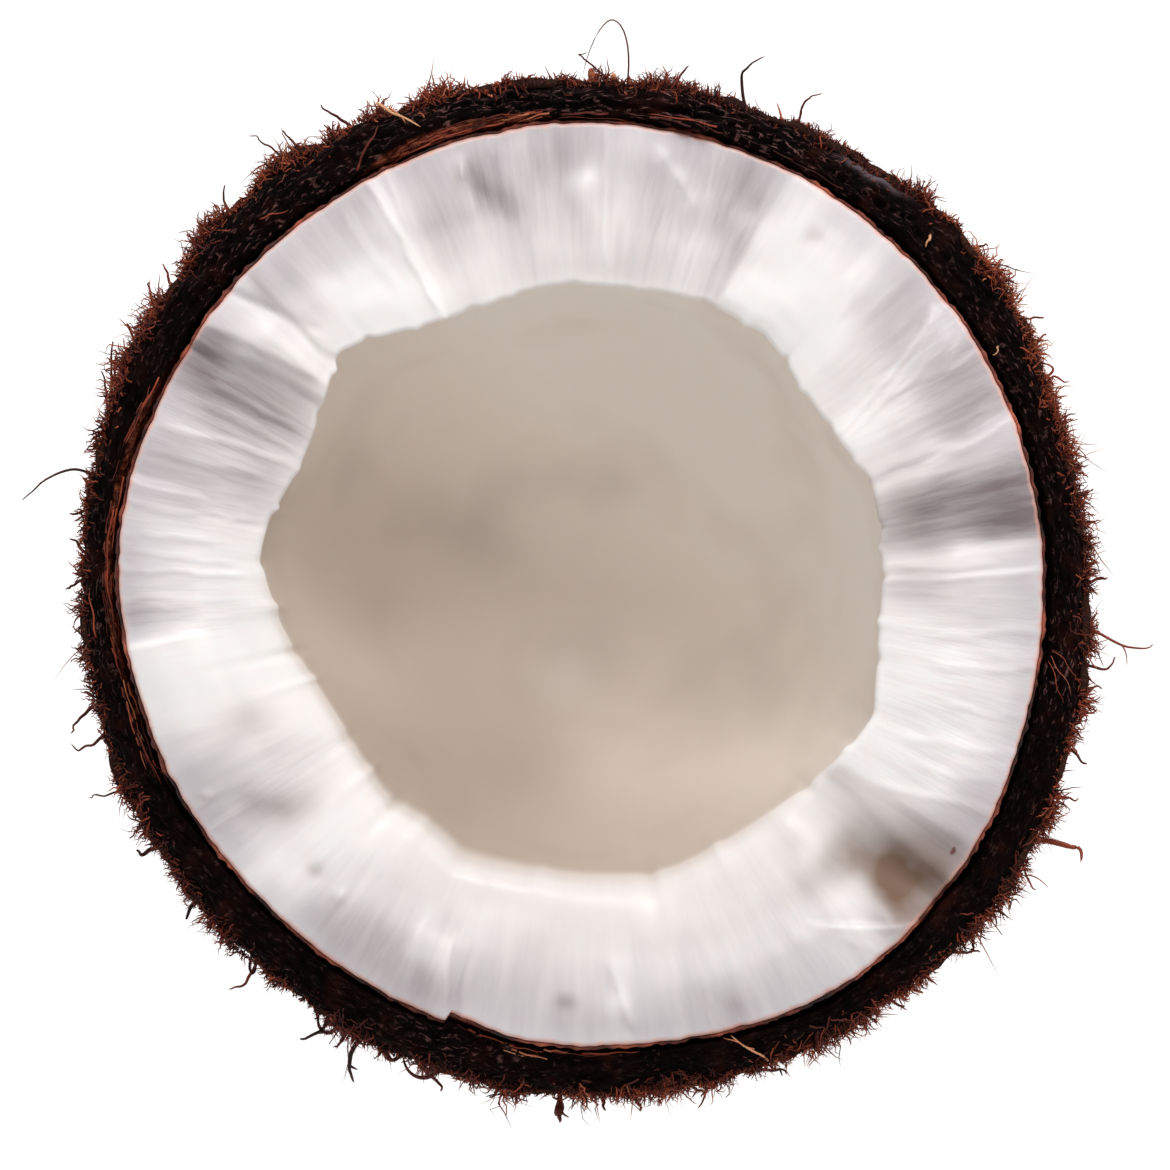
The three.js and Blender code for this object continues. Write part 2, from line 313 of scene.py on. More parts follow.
def streaksOut(tree, perTurn, perMetre):
    # coordinates that run much faster round the nut than outwards, so noise makes streaks
    flat = vectorNode(tree, "MULTIPLY", place(tree), 1, (1, 1, 0)).outputs[0]
    unit = vectorNode(tree, "NORMALIZE", flat).outputs[0]
    size = vectorNode(tree, "LENGTH", flat).outputs["Value"]
    x, y, _ = parts(tree, vectorNode(tree, "SCALE", unit, "Scale", perTurn).outputs[0])
    height = parts(tree, place(tree))[2]
    length = math2(tree, "SUBTRACT", size, height)
    join = tree.nodes.new("ShaderNodeCombineXYZ")
    for socket, value in zip(join.inputs, (x, y, math2(tree, "MULTIPLY", length, perMetre))):
        link(tree, value, socket)
    return join.outputs[0]


def noise(tree, coordinates, scale, detail=3.0, rough=0.55):
    node = tree.nodes.new("ShaderNodeTexNoise")
    link(tree, coordinates, node.inputs["Vector"])
    node.inputs["Scale"].default_value = scale
    node.inputs["Detail"].default_value = detail
    node.inputs["Roughness"].default_value = rough
    return node.outputs["Fac"]


def bump(tree, shader, height, distance):
    node = tree.nodes.new("ShaderNodeBump")
    node.inputs["Distance"].default_value = distance
    link(tree, height, node.inputs["Height"])
    link(tree, node.outputs[0], shader.inputs["Normal"])


# Where the layers are

shellInside = wallReach("shell", True)
shellOutside = wallReach("shell", False)
skinInside = wallReach("brown_skin", True)
skinOutside = wallReach("brown_skin", False)
fleshOutside = wallReach("flesh", False)
hollowWall = wallReach("flesh", True)
calmer = easeIn((slopes[:, None] - nut["hollowFrom"][0]) / nut["hollowFrom"][1])
hollowWall = hollowWall * (1 - calmer) + softened(hollowWall, nut["hollowSoften"]) * calmer
for _ in range(nut["hollowPasses"]):
    hollowWall[1:-1] = (hollowWall[:-2] + 2 * hollowWall[1:-1] + hollowWall[2:]) / 4
matInside = wallReach("husk_fibres", True)
matWall = float(np.median(wallReach("husk_fibres", True, 1) - matInside))
flatFirst = math.cos(math.radians(slopes[0]))
fleshEdge = fleshOutside[0] * flatFirst
hollowEdge = hollowWall[0] * flatFirst
shellEdge = shellOutside[0] * flatFirst
shellInEdge = shellInside[0] * flatFirst
print("measured the frame's layers")

# Flesh

flesh = {
    "faceRows": 68,  # rings across the broken face
    "hollowRows": 30,
    "wallRows": 10,
    "grow": 0.15,  # how far the flesh reaches into the clearance round it
    "smoothRows": 3.5,  # takes the frame's straight folds out of the face
    "strands": [(3, 18, 0.025), (7, 24, 0.06), (16, 30, 0.11)],  # width, length, height
    "strandsIn": (0.45, 0.6),  # their height at the hollow, and where it is full
    # Where strands show: turn, degrees wide, strength
    "streaky": [
        (12, 8, 0.7), (32, 8, 0.9), (74, 9, 0.7), (98, 8, 0.5), (156, 10, 0.8), (174, 6, 0.6),
        (184, 3.5, 1.0), (212, 6, 0.8), (300, 14, 0.35), (338, 12, 0.9), (352, 6, 0.7),
    ],
    "plain": 0.14,  # strength everywhere else
    "drift": (50, 26, 0.8),  # width, length, and how many degrees edges wander
    # How far edges of plates lean: turn, degrees wide, degrees from the hollow to the skin
    "leans": [
        (20, 3, 2.2), (35, 5, 8), (64, 3, -1.5), (116.5, 4, -2.4), (137, 3, 3), (145, 3.5, 5),
        (167.5, 3, -2.5), (187.5, 2, 1), (252.5, 2.5, 5), (313, 4, 6), (322, 2.5, -3),
        (340, 14, 3.5),
    ],
    # Where the frame's straight folds are blurred: turn, degrees wide, how far from the hollow
    "calm": [(20, 5, 0.7), (31, 6, 0.7), (168.5, 5, 0.7), (187, 5, 0.7), (245, 6, 0.7),
             (312, 13, 1.15)],
    "calmBlur": 2.2,  # degrees
    "calmFade": 0.3,  # share of the way out over which that ends
    "softCalm": 0.7,  # how far from the hollow it reaches beside a soft edge
    "lumps": [(16, 10, 0.06), (34, 16, 0.17)],  # width, length, height
    "outerCorner": 0.3,  # rounding beside the brown skin
    "outerTear": (2.4, 0.045),  # width and height of the torn edge there
    "hollowWaves": (90, 9, 0.1),  # width, length, height
    # Nicks in the hollow's edge: turn, degrees wide, mm outwards
    "nicks": [
        (1.5, 0.8, 0.25), (7, 1.2, -0.3), (11, 1.0, 0.3), (24, 1.2, -0.25), (33, 1.5, 0.35),
        (42, 1.2, -0.3), (48, 0.9, 0.4), (58, 1.2, -0.3), (67, 1.6, 0.25), (79, 1.4, -0.2),
        (92, 1.6, 0.25), (104, 1.2, -0.25), (112, 1.4, 0.3), (123, 1.2, -0.3), (131, 0.9, 0.4),
        (139, 0.9, -0.5), (147, 1.5, 0.3), (158, 1.4, -0.25), (166, 0.8, -0.4), (176, 1.2, 0.3),
        (184, 1.1, -0.35), (193, 1.0, 0.4), (199, 0.9, -0.3), (213, 1.6, 0.3), (221, 1.1, -0.3),
        (229, 1.3, 0.5), (236, 1.5, -0.3), (245.5, 1.5, 0.15), (262, 2, -0.25), (283, 1.4, 0.3),
        (297, 1.6, -0.25), (318, 1.3, 0.3), (328, 1.2, -0.3), (346, 1.4, 0.3), (353, 1.0, -0.25),
    ],
    # Edges that run across the broken face: turn at the skin, turn at the hollow, from and
    # to as shares of the way out, which side is higher, height, fade and sharpness in mm
    "breaks": [
        (5.6, 4.6, 0.0, 1.0, -1, 0.35, 4, 0.5), (21.5, 18.9, 0.0, 0.95, -1, 0.28, 6, 0.35),
        (30.6, 28.8, 0.3, 1.0, -1, 0.2, 4, 0.2), (39, 31, 0.0, 0.9, -1, 0.3, 5, 0.35),
        (57.5, 54, 0.2, 0.8, -1, 0.25, 5, 0.8), (63.2, 64.6, 0.05, 1.0, -1, 0.5, 8, 0.35),
        (95, 93.5, 0.3, 1.0, -1, 0.15, 3, 0.4), (101, 103, 0.5, 0.9, -1, 0.3, 3, 0.4),
        (105.5, 106.5, 0.55, 0.9, 1, 0.3, 2, 0.4), (168.6, 170.3, 0.0, 1.0, 1, 0.15, 6, 0.3),
        (145.8, 141.8, 0.1, 1.0, -1, 0.35, 5, 0.4), (187.6, 186.6, 0.5, 1.0, 1, 0.45, 9, 0.25),
        (252.6, 246.8, 0.55, 1.0, -1, 0.32, 6, 0.25), (243.2, 245.2, 0.5, 0.75, 1, 0.18, 3, 0.4),
        (325.8, 324.9, 0.0, 0.95, 1, 0.35, 9, 0.5), (314.8, 287.0, 0.64, 1.0, -1, 0.5, 7, 0.3),
        (277, 270.6, 0.5, 0.9, 1, 0.25, 2, 0.4),
    ],
    # Thin raised threads: turn at the skin, turn at the hollow, from, to, height, width in mm
    "ridges": [
        (38.6, 30.8, 0.0, 0.92, 0.36, 0.34), (36.6, 29.6, 0.1, 0.85, 0.2, 0.25),
        (34.6, 29.2, 0.25, 0.95, 0.16, 0.25), (30.6, 29.6, 0.45, 0.98, 0.2, 0.22),
        (21.7, 19.2, 0.02, 0.93, 0.2, 0.3), (23.6, 22.4, 0.5, 0.95, 0.12, 0.25),
        (1.6, 0.4, 0.3, 1.0, 0.2, 0.3), (3.4, 2.6, 0.1, 0.7, 0.12, 0.3),
        (87.2, 86.0, 0.05, 0.95, 0.2, 0.35), (82.1, 62.4, 0.54, 0.88, 0.12, 0.5),
        (73.5, 70.5, 0.6, 0.95, 0.2, 0.3), (83.6, 82.8, 0.2, 0.6, 0.12, 0.4),
        (118.4, 116.9, 0.06, 1.0, 0.4, 0.45), (123, 121.5, 0.3, 0.9, 0.1, 0.6),
        (145.4, 141.4, 0.15, 1.0, 0.12, 0.3), (139.3, 135.6, 0.25, 1.0, -0.2, 0.6),
        (158.8, 158.0, 0.05, 0.95, 0.2, 0.35), (155, 154.2, 0.1, 0.9, 0.14, 0.3),
        (151.9, 150.9, 0.1, 0.75, 0.2, 0.35), (162.4, 161.4, 0.2, 0.95, 0.14, 0.3),
        (168.8, 170.2, 0.05, 1.0, 0.16, 0.25), (178.0, 178.5, 0.15, 1.0, 0.2, 0.25),
        (175.4, 176.6, 0.2, 0.95, 0.14, 0.25), (172.8, 174.2, 0.35, 0.85, 0.14, 0.25),
        (187.6, 186.8, 0.55, 1.0, 0.1, 0.25), (183.8, 183.2, 0.65, 1.0, 0.14, 0.25),
        (181.8, 181.4, 0.6, 1.0, 0.12, 0.25), (252.4, 246.6, 0.5, 1.0, 0.12, 0.25),
        (243.6, 245.6, 0.4, 0.62, 0.1, 0.4), (314.6, 286.8, 0.62, 0.98, 0.2, 0.42),
        (309, 296, 0.78, 0.95, 0.1, 0.4), (330.8, 324.8, 0.3, 1.0, 0.16, 0.45),
        (338.6, 333.6, 0.25, 1.0, 0.15, 0.5), (350.0, 344.6, 0.35, 1.0, 0.18, 0.45),
        (354.4, 350.4, 0.35, 1.0, 0.12, 0.4), (343.8, 339.8, 0.45, 1.0, 0.1, 0.4),
        (334.4, 330, 0.4, 0.95, 0.08, 0.35), (209.3, 208.7, 0.84, 0.96, 0.2, 0.25),
        (213.6, 213, 0.7, 1.0, 0.12, 0.25), (276.8, 272, 0.6, 0.9, 0.22, 0.4),
        (262, 261.4, 0.8, 1.0, 0.1, 0.3), (287.2, 286.5, 0.65, 1.0, 0.1, 0.3),
        (232.4, 231.6, 0.6, 0.75, 0.14, 0.3),
    ],
    "threadWander": 0.2,  # mm
    "patchWander": (16, 11, 0.5, 0.02),  # width, length, degrees, share of the way out
    # Rounded swells and dents: turn, share of the way out, degrees wide, share wide, height
    "swells": [
        (7, 0.6, 3, 0.7, -0.4), (16, 0.5, 3, 0.6, 0.35), (43, 0.6, 3, 0.4, -0.2),
        (52, 0.4, 4, 0.3, 0.35), (57, 0.72, 1.5, 0.1, -0.3), (68.5, 0.75, 2.2, 0.2, -0.45),
        (65.6, 0.68, 1.2, 0.1, -0.3), (79.0, 0.82, 1.6, 0.06, 0.16), (76.6, 0.72, 1.7, 0.06, 0.24),
        (74.6, 0.63, 1.2, 0.05, 0.12), (88.7, 0.63, 1.8, 0.08, 0.4), (103.5, 0.66, 2.2, 0.15, -0.4),
        (106.4, 0.8, 0.6, 0.05, 0.3), (127, 0.25, 7, 0.3, 0.4), (119.4, 0.75, 1.2, 0.25, 0.3),
        (141.6, 0.6, 2.4, 0.6, 0.22), (149.5, 0.75, 3.4, 0.5, -0.6), (185, 0.88, 3, 0.12, -0.3),
        (192, 0.7, 5, 0.6, 0.35), (202, 0.5, 3.5, 0.2, -0.3), (199.5, 0.86, 5, 0.25, 0.5),
        (217.2, 0.56, 2.4, 0.14, -0.35), (213.5, 0.68, 1.6, 0.08, -0.25),
        (209, 0.87, 0.5, 0.03, 0.25), (227.5, 0.62, 1.2, 0.06, -0.3), (232, 0.66, 0.9, 0.04, 0.3),
        (248.5, 0.75, 2.4, 0.16, 0.3), (267.5, 0.76, 1.4, 0.06, -0.4),
        (275.3, 0.76, 1.0, 0.08, 0.35), (288.5, 0.88, 1.2, 0.06, -0.25),
        (300.5, 0.62, 1.4, 0.1, 0.2), (308.4, 0.82, 1.2, 0.05, 0.22),
        (305.6, 0.71, 1.3, 0.045, 0.2), (312.8, 0.9, 1.4, 0.07, 0.3),
        (318.6, 0.76, 3.6, 0.34, -1.0), (323.6, 0.8, 1.6, 0.3, -0.3), (335, 0.4, 6, 0.4, 0.25),
    ],
    # Where the break rounds over softly into the hollow: turn, degrees wide
    "softLips": [(205, 24), (245, 34), (292, 26)],
    "softEnds": 3,  # degrees over which that comes and goes
    "crispLip": 0.45,  # mm rounded where the break is crisp
    "softLip": 2.3,  # and where it is soft
    "blurFace": 0.07,  # share of the face over which a soft edge turns beige
    "blurRows": 2.6,  # rings of the hollow over which it does
    "crispLift": 0.8,  # how much of the frame's fall towards the hollow a crisp edge loses
    "liftUpTo": (0.6, 0.15),  # share of the way out where that ends, and over how much
    "plateau": (0.5, 0.8),  # shares of the way out between which the frame's face is highest
    "lipDrop": 0.8,  # how far a rounded edge drops, as a share of its width
    "streaksIn": (0.4, 0.6),  # how much streaks colour at the hollow, and where it is full
    "swellWander": 3,  # swells wander this many times less than marks do
    "hollowCrowding": 1.2,  # above 1 the hollow's rings lie closer at its edge
    "edgeInto": 9,  # how fast the edge's outline dies away down the hollow
    "wavesFrom": 6,  # rings until the hollow's waves are full
    # Tan marks, partly real stains and partly painted shade in dents and on the lip: turn,
    # share of the way out, degrees wide, share wide, strength
    "stainsAndPaintedShade": [
        (202.5, 0.48, 3, 0.2, 0.35), (216.9, 0.57, 2.9, 0.13, 0.38), (213.6, 0.68, 2.4, 0.08, 0.24),
        (218, 0.43, 3, 0.13, 0.2), (318.9, 0.97, 4.2, 0.2, 0.7), (317.5, 0.75, 4.6, 0.22, 0.74),
        (315.8, 0.9, 3.0, 0.18, 0.36), (317.0, 0.64, 3.8, 0.15, 0.3), (316.8, 0.54, 4.6, 0.2, 0.28),
        (317, 0.38, 6, 0.18, 0.2), (322.8, 0.7, 2.8, 0.3, 0.3), (262, 0.12, 36, 0.2, 0.13),
        (311, 0.45, 6, 0.13, 0.3), (57, 0.72, 1.2, 0.07, 0.3), (227.4, 0.63, 1.5, 0.05, 0.35),
        (267.4, 0.76, 1.4, 0.05, 0.3), (262, 0.5, 7, 0.22, 0.16), (290, 0.3, 20, 0.2, 0.16),
        (12, 0.15, 8, 0.2, 0.2), (150, 0.15, 8, 0.2, 0.15),
    ],
    # Painted mauve-grey shade on the flesh, set out the same way; below 0 it is a painted highlight
    # instead
    "paintedShades": [
        (14.6, 0.85, 3.4, 0.42, 1.15), (8.8, 0.9, 3.2, 0.4, 1.3), (12, 0.25, 5.5, 0.35, 0.9),
        (24.2, 0.75, 2.2, 0.45, 0.7), (29.5, 0.85, 4, 0.28, 0.75), (30, 0.5, 3, 0.25, 0.3),
        (38, 0.62, 2.4, 0.28, 0.3), (43, 0.78, 3.6, 0.35, 0.45), (50, 0.4, 6, 0.4, -0.35),
        (59.5, 0.7, 3, 0.4, -0.4), (68.5, 0.75, 3.0, 0.3, 0.6), (66, 0.4, 3, 0.4, 0.35),
        (77, 0.85, 5, 0.3, 0.45), (79.2, 0.84, 1.6, 0.08, -0.4), (76.9, 0.74, 1.8, 0.09, -0.45),
        (74.5, 0.62, 1.3, 0.07, -0.3), (79, 0.4, 7, 0.35, 0.35), (88.6, 0.63, 2.0, 0.1, -0.5),
        (92, 0.85, 6, 0.3, 0.6), (90.5, 0.4, 2.5, 0.3, 0.35), (105.7, 0.78, 1.8, 0.1, 0.3),
        (103.8, 0.68, 2.1, 0.11, 0.35), (101.4, 0.57, 2.2, 0.1, 0.3), (105, 0.85, 7, 0.35, 0.42),
        (101, 0.35, 8, 0.35, 0.3), (112, 0.6, 3, 0.5, 0.4), (117.4, 0.6, 0.8, 0.6, -0.4),
        (121, 0.88, 3, 0.2, 0.4), (128, 0.85, 6, 0.22, 0.5), (125, 0.35, 5, 0.3, -0.25),
        (134, 0.6, 3, 0.4, 0.3), (137.2, 0.8, 1.5, 0.4, 0.55), (141.5, 0.6, 2.4, 0.6, 0.14),
        (150, 0.88, 4.2, 0.36, 0.9), (152.6, 0.5, 6, 0.4, 0.58), (152, 0.2, 6, 0.3, 0.45),
        (164, 0.2, 6, 0.3, 0.5), (163.5, 0.7, 3.4, 0.5, 0.45), (168.4, 0.4, 1.3, 0.5, 0.3),
        (20.3, 0.35, 1.0, 0.45, 0.4), (30.5, 0.22, 3.5, 0.25, -0.4), (176, 0.95, 9, 0.12, 0.2),
        (184.4, 0.9, 3, 0.14, 0.5), (184, 0.6, 2, 0.2, 0.2), (193, 0.7, 7, 0.6, -1.0),
        (211, 0.88, 6, 0.2, 0.4), (212, 0.5, 8, 0.2, 0.25), (222, 0.85, 5, 0.3, -0.3),
        (234, 0.85, 4, 0.22, 0.35), (240, 0.7, 6, 0.25, 0.45), (241, 0.86, 8, 0.2, 0.25),
        (242, 0.3, 8, 0.25, 0.15), (247, 0.44, 3.2, 0.09, 0.3), (257, 0.03, 14, 0.07, 0.22),
        (277, 0.03, 9, 0.07, 0.2), (310.4, 0.16, 2.0, 0.13, 0.4), (247.5, 0.86, 4, 0.16, 0.5),
        (245.4, 0.45, 2, 0.08, -0.3), (258, 0.7, 8, 0.3, 0.14), (267.5, 0.78, 2, 0.08, 0.35),
        (275.2, 0.75, 1.8, 0.12, -0.6), (272, 0.9, 6, 0.2, 0.3), (286, 0.85, 8, 0.22, 0.35),
        (288.5, 0.9, 2, 0.1, 0.35), (298, 0.85, 6, 0.2, 0.15), (308, 0.85, 4, 0.3, -0.3),
        (323.8, 0.85, 2.2, 0.3, 0.5), (318.5, 0.9, 3.2, 0.25, 0.35), (329.5, 0.88, 5, 0.2, 0.55),
        (346, 0.95, 8, 0.1, 0.25), (338, 0.5, 12, 0.4, -0.3), (358.4, 0.6, 4, 0.5, 0.25),
        (0.5, 0.2, 4, 0.25, 0.5),
    ],
    # Soft grey marks down in the hollow: x, y, mm wide, mm deep, strength
    "smudges": [
        (-15, 7, 4.0, 3.6, 0.2), (-10.4, 4.2, 3.6, 3.0, 0.2), (-22, -2.4, 4.5, 4, 0.2),
        (-5.2, -18.6, 6, 5, 0.34), (-15, -18, 10, 9, 0.5), (-22, 8, 6, 6, 0.1),
        (12, -12, 10, 5, 0.1), (2, 12, 9, 4, 0.08), (-28, 2, 3, 7, 0.1), (4, -25, 16, 6, 0.24),
    ],
    "breakPaintedLight": (0.55, 6.0, 0.1),  # painted shadow on the low side per mm, how far, painted highlight on the high side
    "breakFade": 0.12,  # share of the way out over which an edge comes and goes
    "ridgeFade": (0.15, 0.1),  # the same for a thread, at its inner and outer end
    "redSpeck": (324.3, 0.9, 0.65, 0.015),  # turn, share of the way out, degrees and share wide
}
# The flesh's edge and the shell's step in beside a loose flake of shell: mm inwards after the
# turn and outwards before it, and the degrees over which each fades
notch = {"turn": 252.6, "in": 0.75, "fade": 10, "out": 0.15}


def faceSwell(turnsAcross, shares, swells):
    total = np.zeros(np.broadcast(turnsAcross, shares).shape)
    for turn, share, wide, deep, height in swells:
        away = (turnGap(turnsAcross, turn) / wide) ** 2 + ((shares - share) / deep) ** 2
        total += height * np.exp(-away)
    return total


def lineGap(turnsAcross, shares, radius, outer, inner):
    # mm round the nut from a line that runs from turn outer at the skin to turn inner
    return np.radians(turnGap(turnsAcross, inner + (outer - inner) * shares)) * radius


def between(shares, start, end, fadeIn, fadeOut):
    return easeIn((shares - start) / fadeIn + 0.5) * easeIn((end - shares) / fadeOut + 0.5)


def faceBreaks(turnsAcross, shares, radius):
    total = np.zeros(turnsAcross.shape)
    for outer, inner, start, end, side, height, fade, sharp in flesh["breaks"]:
        gap = lineGap(turnsAcross, shares, radius, outer, inner) * side
        near = between(shares, start, end, flesh["breakFade"], flesh["breakFade"])
        shape = (0.5 + 0.5 * np.tanh(gap / sharp)) * np.exp(-np.maximum(gap, 0) / fade)
        total += height * near * shape
    return total


def paintedBreakLight(turnsAcross, shares, radius):
    # painted shadow on the low side of each edge and painted highlight on the high side
    grey, far, white = flesh["breakPaintedLight"]
    total = np.zeros(turnsAcross.shape)
    for outer, inner, start, end, side, height, _, sharp in flesh["breaks"]:
        gap = lineGap(turnsAcross, shares, radius, outer, inner) * side
        near = between(shares, start, end, flesh["breakFade"], flesh["breakFade"])
        low = easeIn(0.5 - gap / sharp / 2) * np.exp(-np.maximum(-gap, 0) / far) * grey
        high = easeIn(0.5 + gap / sharp / 2) * np.exp(-np.maximum(gap, 0) / far) * white
        total += height * near * (low - high)
    return total


def wanderingPlaces(shape):
    # how far the middles of marks and swells are pushed about, so that none is a true oval
    wide, long, turned, moved = flesh["patchWander"]
    return turned * grain(shape, wide, long, 17), moved * grain(shape, wide, long, 18)


def faceRidges(turnsAcross, shares, radius):
    total = np.zeros(turnsAcross.shape)
    wander = flesh["threadWander"]
    rng = np.random.default_rng(15)
    for outer, inner, start, end, height, wide in flesh["ridges"]:
        steps = np.cumsum(rng.standard_normal(len(shares)))
        steps = np.convolve(steps - steps.mean(), np.ones(5) / 5, "same") * wander / 3
        gap = lineGap(turnsAcross, shares, radius, outer, inner) + steps[:, None]
        near = between(shares, start, end, *flesh["ridgeFade"])
        total += height * near * np.exp(-(gap / wide) ** 2)
    return total


def streakyShare():
    return np.clip(flesh["plain"] + bumpsRound(flesh["streaky"]), 0, 1.2)


def softShare():
    soft = bumpsRound(flesh["softLips"], power=4)
    return np.clip(softened(np.clip(soft, 0, 1), flesh["softEnds"]), 0, 1)


def notchedIn():
    gap = turnGap(turns, notch["turn"])
    after = np.where(gap > 0, notch["in"] * easeIn(1 - gap / notch["fade"]), 0)
    before = np.where(gap <= 0, notch["out"] * easeIn(1 + gap / notch["fade"]), 0)
    return after - before


def plateHeights(shares, across):
    # the frame's broken face, without its fall towards crisp edges and its straight folds
    heights = topHeights("flesh", hollowEdge, fleshEdge, shares)
    crisp = 1 - softShare()
    low, high = flesh["plateau"]
    top = heights[(shares > low) & (shares < high)].max(0)
    upTo, fade = flesh["liftUpTo"]
    heights += flesh["crispLift"] * crisp * (top - heights) * easeIn((upTo - across) / fade)
    reach = 12  # rings on each side that take part in the smoothing
    kernel = np.exp(-0.5 * (np.arange(-reach, reach + 1) / flesh["smoothRows"]) ** 2)
    kernel /= kernel.sum()
    padded = np.pad(heights, ((reach, reach), (0, 0)), "edge")
    heights = np.stack([np.convolve(column, kernel, "valid") for column in padded.T], 1)
    fade = flesh["calmFade"]
    calm = sum(np.exp(-(turnGap(turns, at) / wide) ** 4) * easeIn((upTo - across) / fade)
               for at, wide, upTo in flesh["calm"])
    calm = np.clip(calm + softShare() * easeIn((flesh["softCalm"] - across) / fade), 0, 1)
    return heights + calm * (softened(heights, flesh["calmBlur"]) - heights)


def fleshFace():
    # the broken face, as rings from the skin to the hollow
    shares = np.linspace(1, 0, flesh["faceRows"])
    across = shares[:, None] * np.ones(len(turns))
    turning = np.ones(shares.shape)[:, None] * turns
    wide, height = flesh["outerTear"]
    tear = height * grain((3, len(turns)), wide, 2, 9)[0]
    outer = fleshEdge + flesh["grow"] - notchedIn() + tear
    inner = hollowEdge + bumpsRound(flesh["nicks"])
    radius = inner + (outer - inner) * across
    heights = plateHeights(shares, across)
    wide, long, wander = flesh["drift"]
    lean = bumpsRound(flesh["leans"])
    drift = wander * grain(heights.shape, wide, long, 13) + lean * (across - 0.5)
    for row in range(len(shares)):
        heights[row] = np.interp(turns - drift[row], turns, heights[row], period=360)
    strands = np.zeros(heights.shape)
    for number, (wide, long, height) in enumerate(flesh["strands"]):
        strands += height * grain(heights.shape, wide, long, 14 + number)
    least, full = flesh["strandsIn"]
    strands *= streakyShare() * (least + (1 - least) * easeIn(across / full))
    for row in range(len(shares)):
        heights[row] += np.interp(turns - drift[row], turns, strands[row], period=360)
    for number, (wide, long, height) in enumerate(flesh["lumps"]):
        heights += height * grain(heights.shape, wide, long, 21 + number)
    turned, moved = wanderingPlaces(heights.shape)
    less = flesh["swellWander"]
    heights += faceSwell(turning + turned / less, across + moved / less, flesh["swells"])
    heights += faceBreaks(turning, across, radius)
    heights += faceRidges(turning, across, radius)
    lip = flesh["crispLip"] + (flesh["softLip"] - flesh["crispLip"]) * softShare()
    heights -= lip * flesh["lipDrop"] * np.clip(1 - (radius - inner) / lip, 0, 1) ** 2
    corner = flesh["outerCorner"]
    heights -= corner * np.clip(1 - (outer - radius) / corner, 0, 1) ** 2
    return shares, radius, heights


def makeFlesh(material):
    shares, radius, heights = fleshFace()
    allOver = np.ones(heights.shape)
    # Painted shadow and painted highlight beside the edges across the broken face
    paintedEdgeLight = paintedBreakLight(allOver * turns, shares[:, None] * allOver, radius)
    names = ("broken", "across", "stainAndPaintedShade", "shade", "speck", "streaky", "smudge")
    rings, values = [], {name: [] for name in names}
    speck = [(*flesh["redSpeck"], 1.0)]
    least, full = flesh["streaksIn"]
    turned, moved = wanderingPlaces(heights.shape)
    soft = softShare()

    def add(ring, brokenHere, share):
        rings.append(ring)
        row = int(round((1 - share) * (flesh["faceRows"] - 1)))
        turnHere, shareHere = turns + turned[row], share + moved[row]
        here = {
            "broken": brokenHere,
            "across": share,
            # stain is partly real stains and partly painted shade
            "stainAndPaintedShade": brokenHere * faceSwell(turnHere, shareHere, flesh["stainsAndPaintedShade"]),
            # shade is painted shade, and below 0 painted highlight
            "shade": brokenHere * (faceSwell(turnHere, shareHere, flesh["paintedShades"])
                                   + paintedEdgeLight[row]),
            "speck": brokenHere * faceSwell(turns, np.float64(share), speck),
            "streaky": brokenHere * streakyShare() * (least + (1 - least) * easeIn(share / full)),
            "smudge": sum(much * np.exp(-((ring[:, 0] - x) / wide) ** 2
                                        - ((ring[:, 1] - y) / deep) ** 2)
                          for x, y, wide, deep, much in flesh["smudges"]),
        }
        for name in names:
            values[name].append(np.broadcast_to(here[name], len(turns)))

    for slope in np.linspace(slopes[-1], slopes[0], flesh["wallRows"]):
        add(wallRing(fleshOutside, slope), 0.0, 1)
    for row, share in enumerate(shares):
        fading = easeIn((flesh["blurFace"] - share) / flesh["blurFace"])
        add(levelRing(radius[row], heights[row]), 1 - 0.5 * soft * fading, share)
    startSlope = np.degrees(np.arctan2(middleHeight - heights[-1], radius[-1]))
    startAway = np.hypot(middleHeight - heights[-1], radius[-1]) - reachAt(hollowWall, startSlope)
    wide, long, height = flesh["hollowWaves"]
    wobble = height * grain((flesh["hollowRows"], len(turns)), wide, long, 31)
    for row in range(flesh["hollowRows"]):
        down = ((row + 1) / flesh["hollowRows"]) ** flesh["hollowCrowding"]
        slope = startSlope + (slopes[-1] - startSlope) * down
        proud = (wobble[row] * (1 - down) * easeIn(row / flesh["wavesFrom"])
                 + startAway * (1 - down) ** flesh["edgeInto"])
        fading = max(0, 1 - (row + 1) / flesh["blurRows"])
        add(wallRing(hollowWall, slope, proud), 0.5 * soft * fading, 0)
    piece = addBowl("fleshBowl", rings, values, material)
    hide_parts("flesh")
    return radius[0], heights[0]


fleshFinish = {
    "warm": (0.94, 0.895, 0.875),
    "cool": (0.725, 0.68, 0.70),
    "paintedShadeMauve": (0.27, 0.215, 0.225),
    "tan": (0.22, 0.135, 0.09),
    "red": (0.17, 0.04, 0.035),
    "blush": (0.86, 0.40, 0.30),  # beside the brown skin
    # The hollow's beige wall, painted paler on one side and darker on the other as light and shade
    "hollowPaintedLit": (0.98, 0.90, 0.825),
    "hollowPaintedShaded": (0.56, 0.46, 0.38),
    "hollowPaintedLightMiddle": 0.62,  # how pale the painted light leaves the hollow's middle
    "hollowPaintedLightSide": (0.9, 1.2),  # painted light: how much paler 60 mm towards +X, and towards +Y
    "hollowSpot": (0.33, 0.275, 0.23),
}


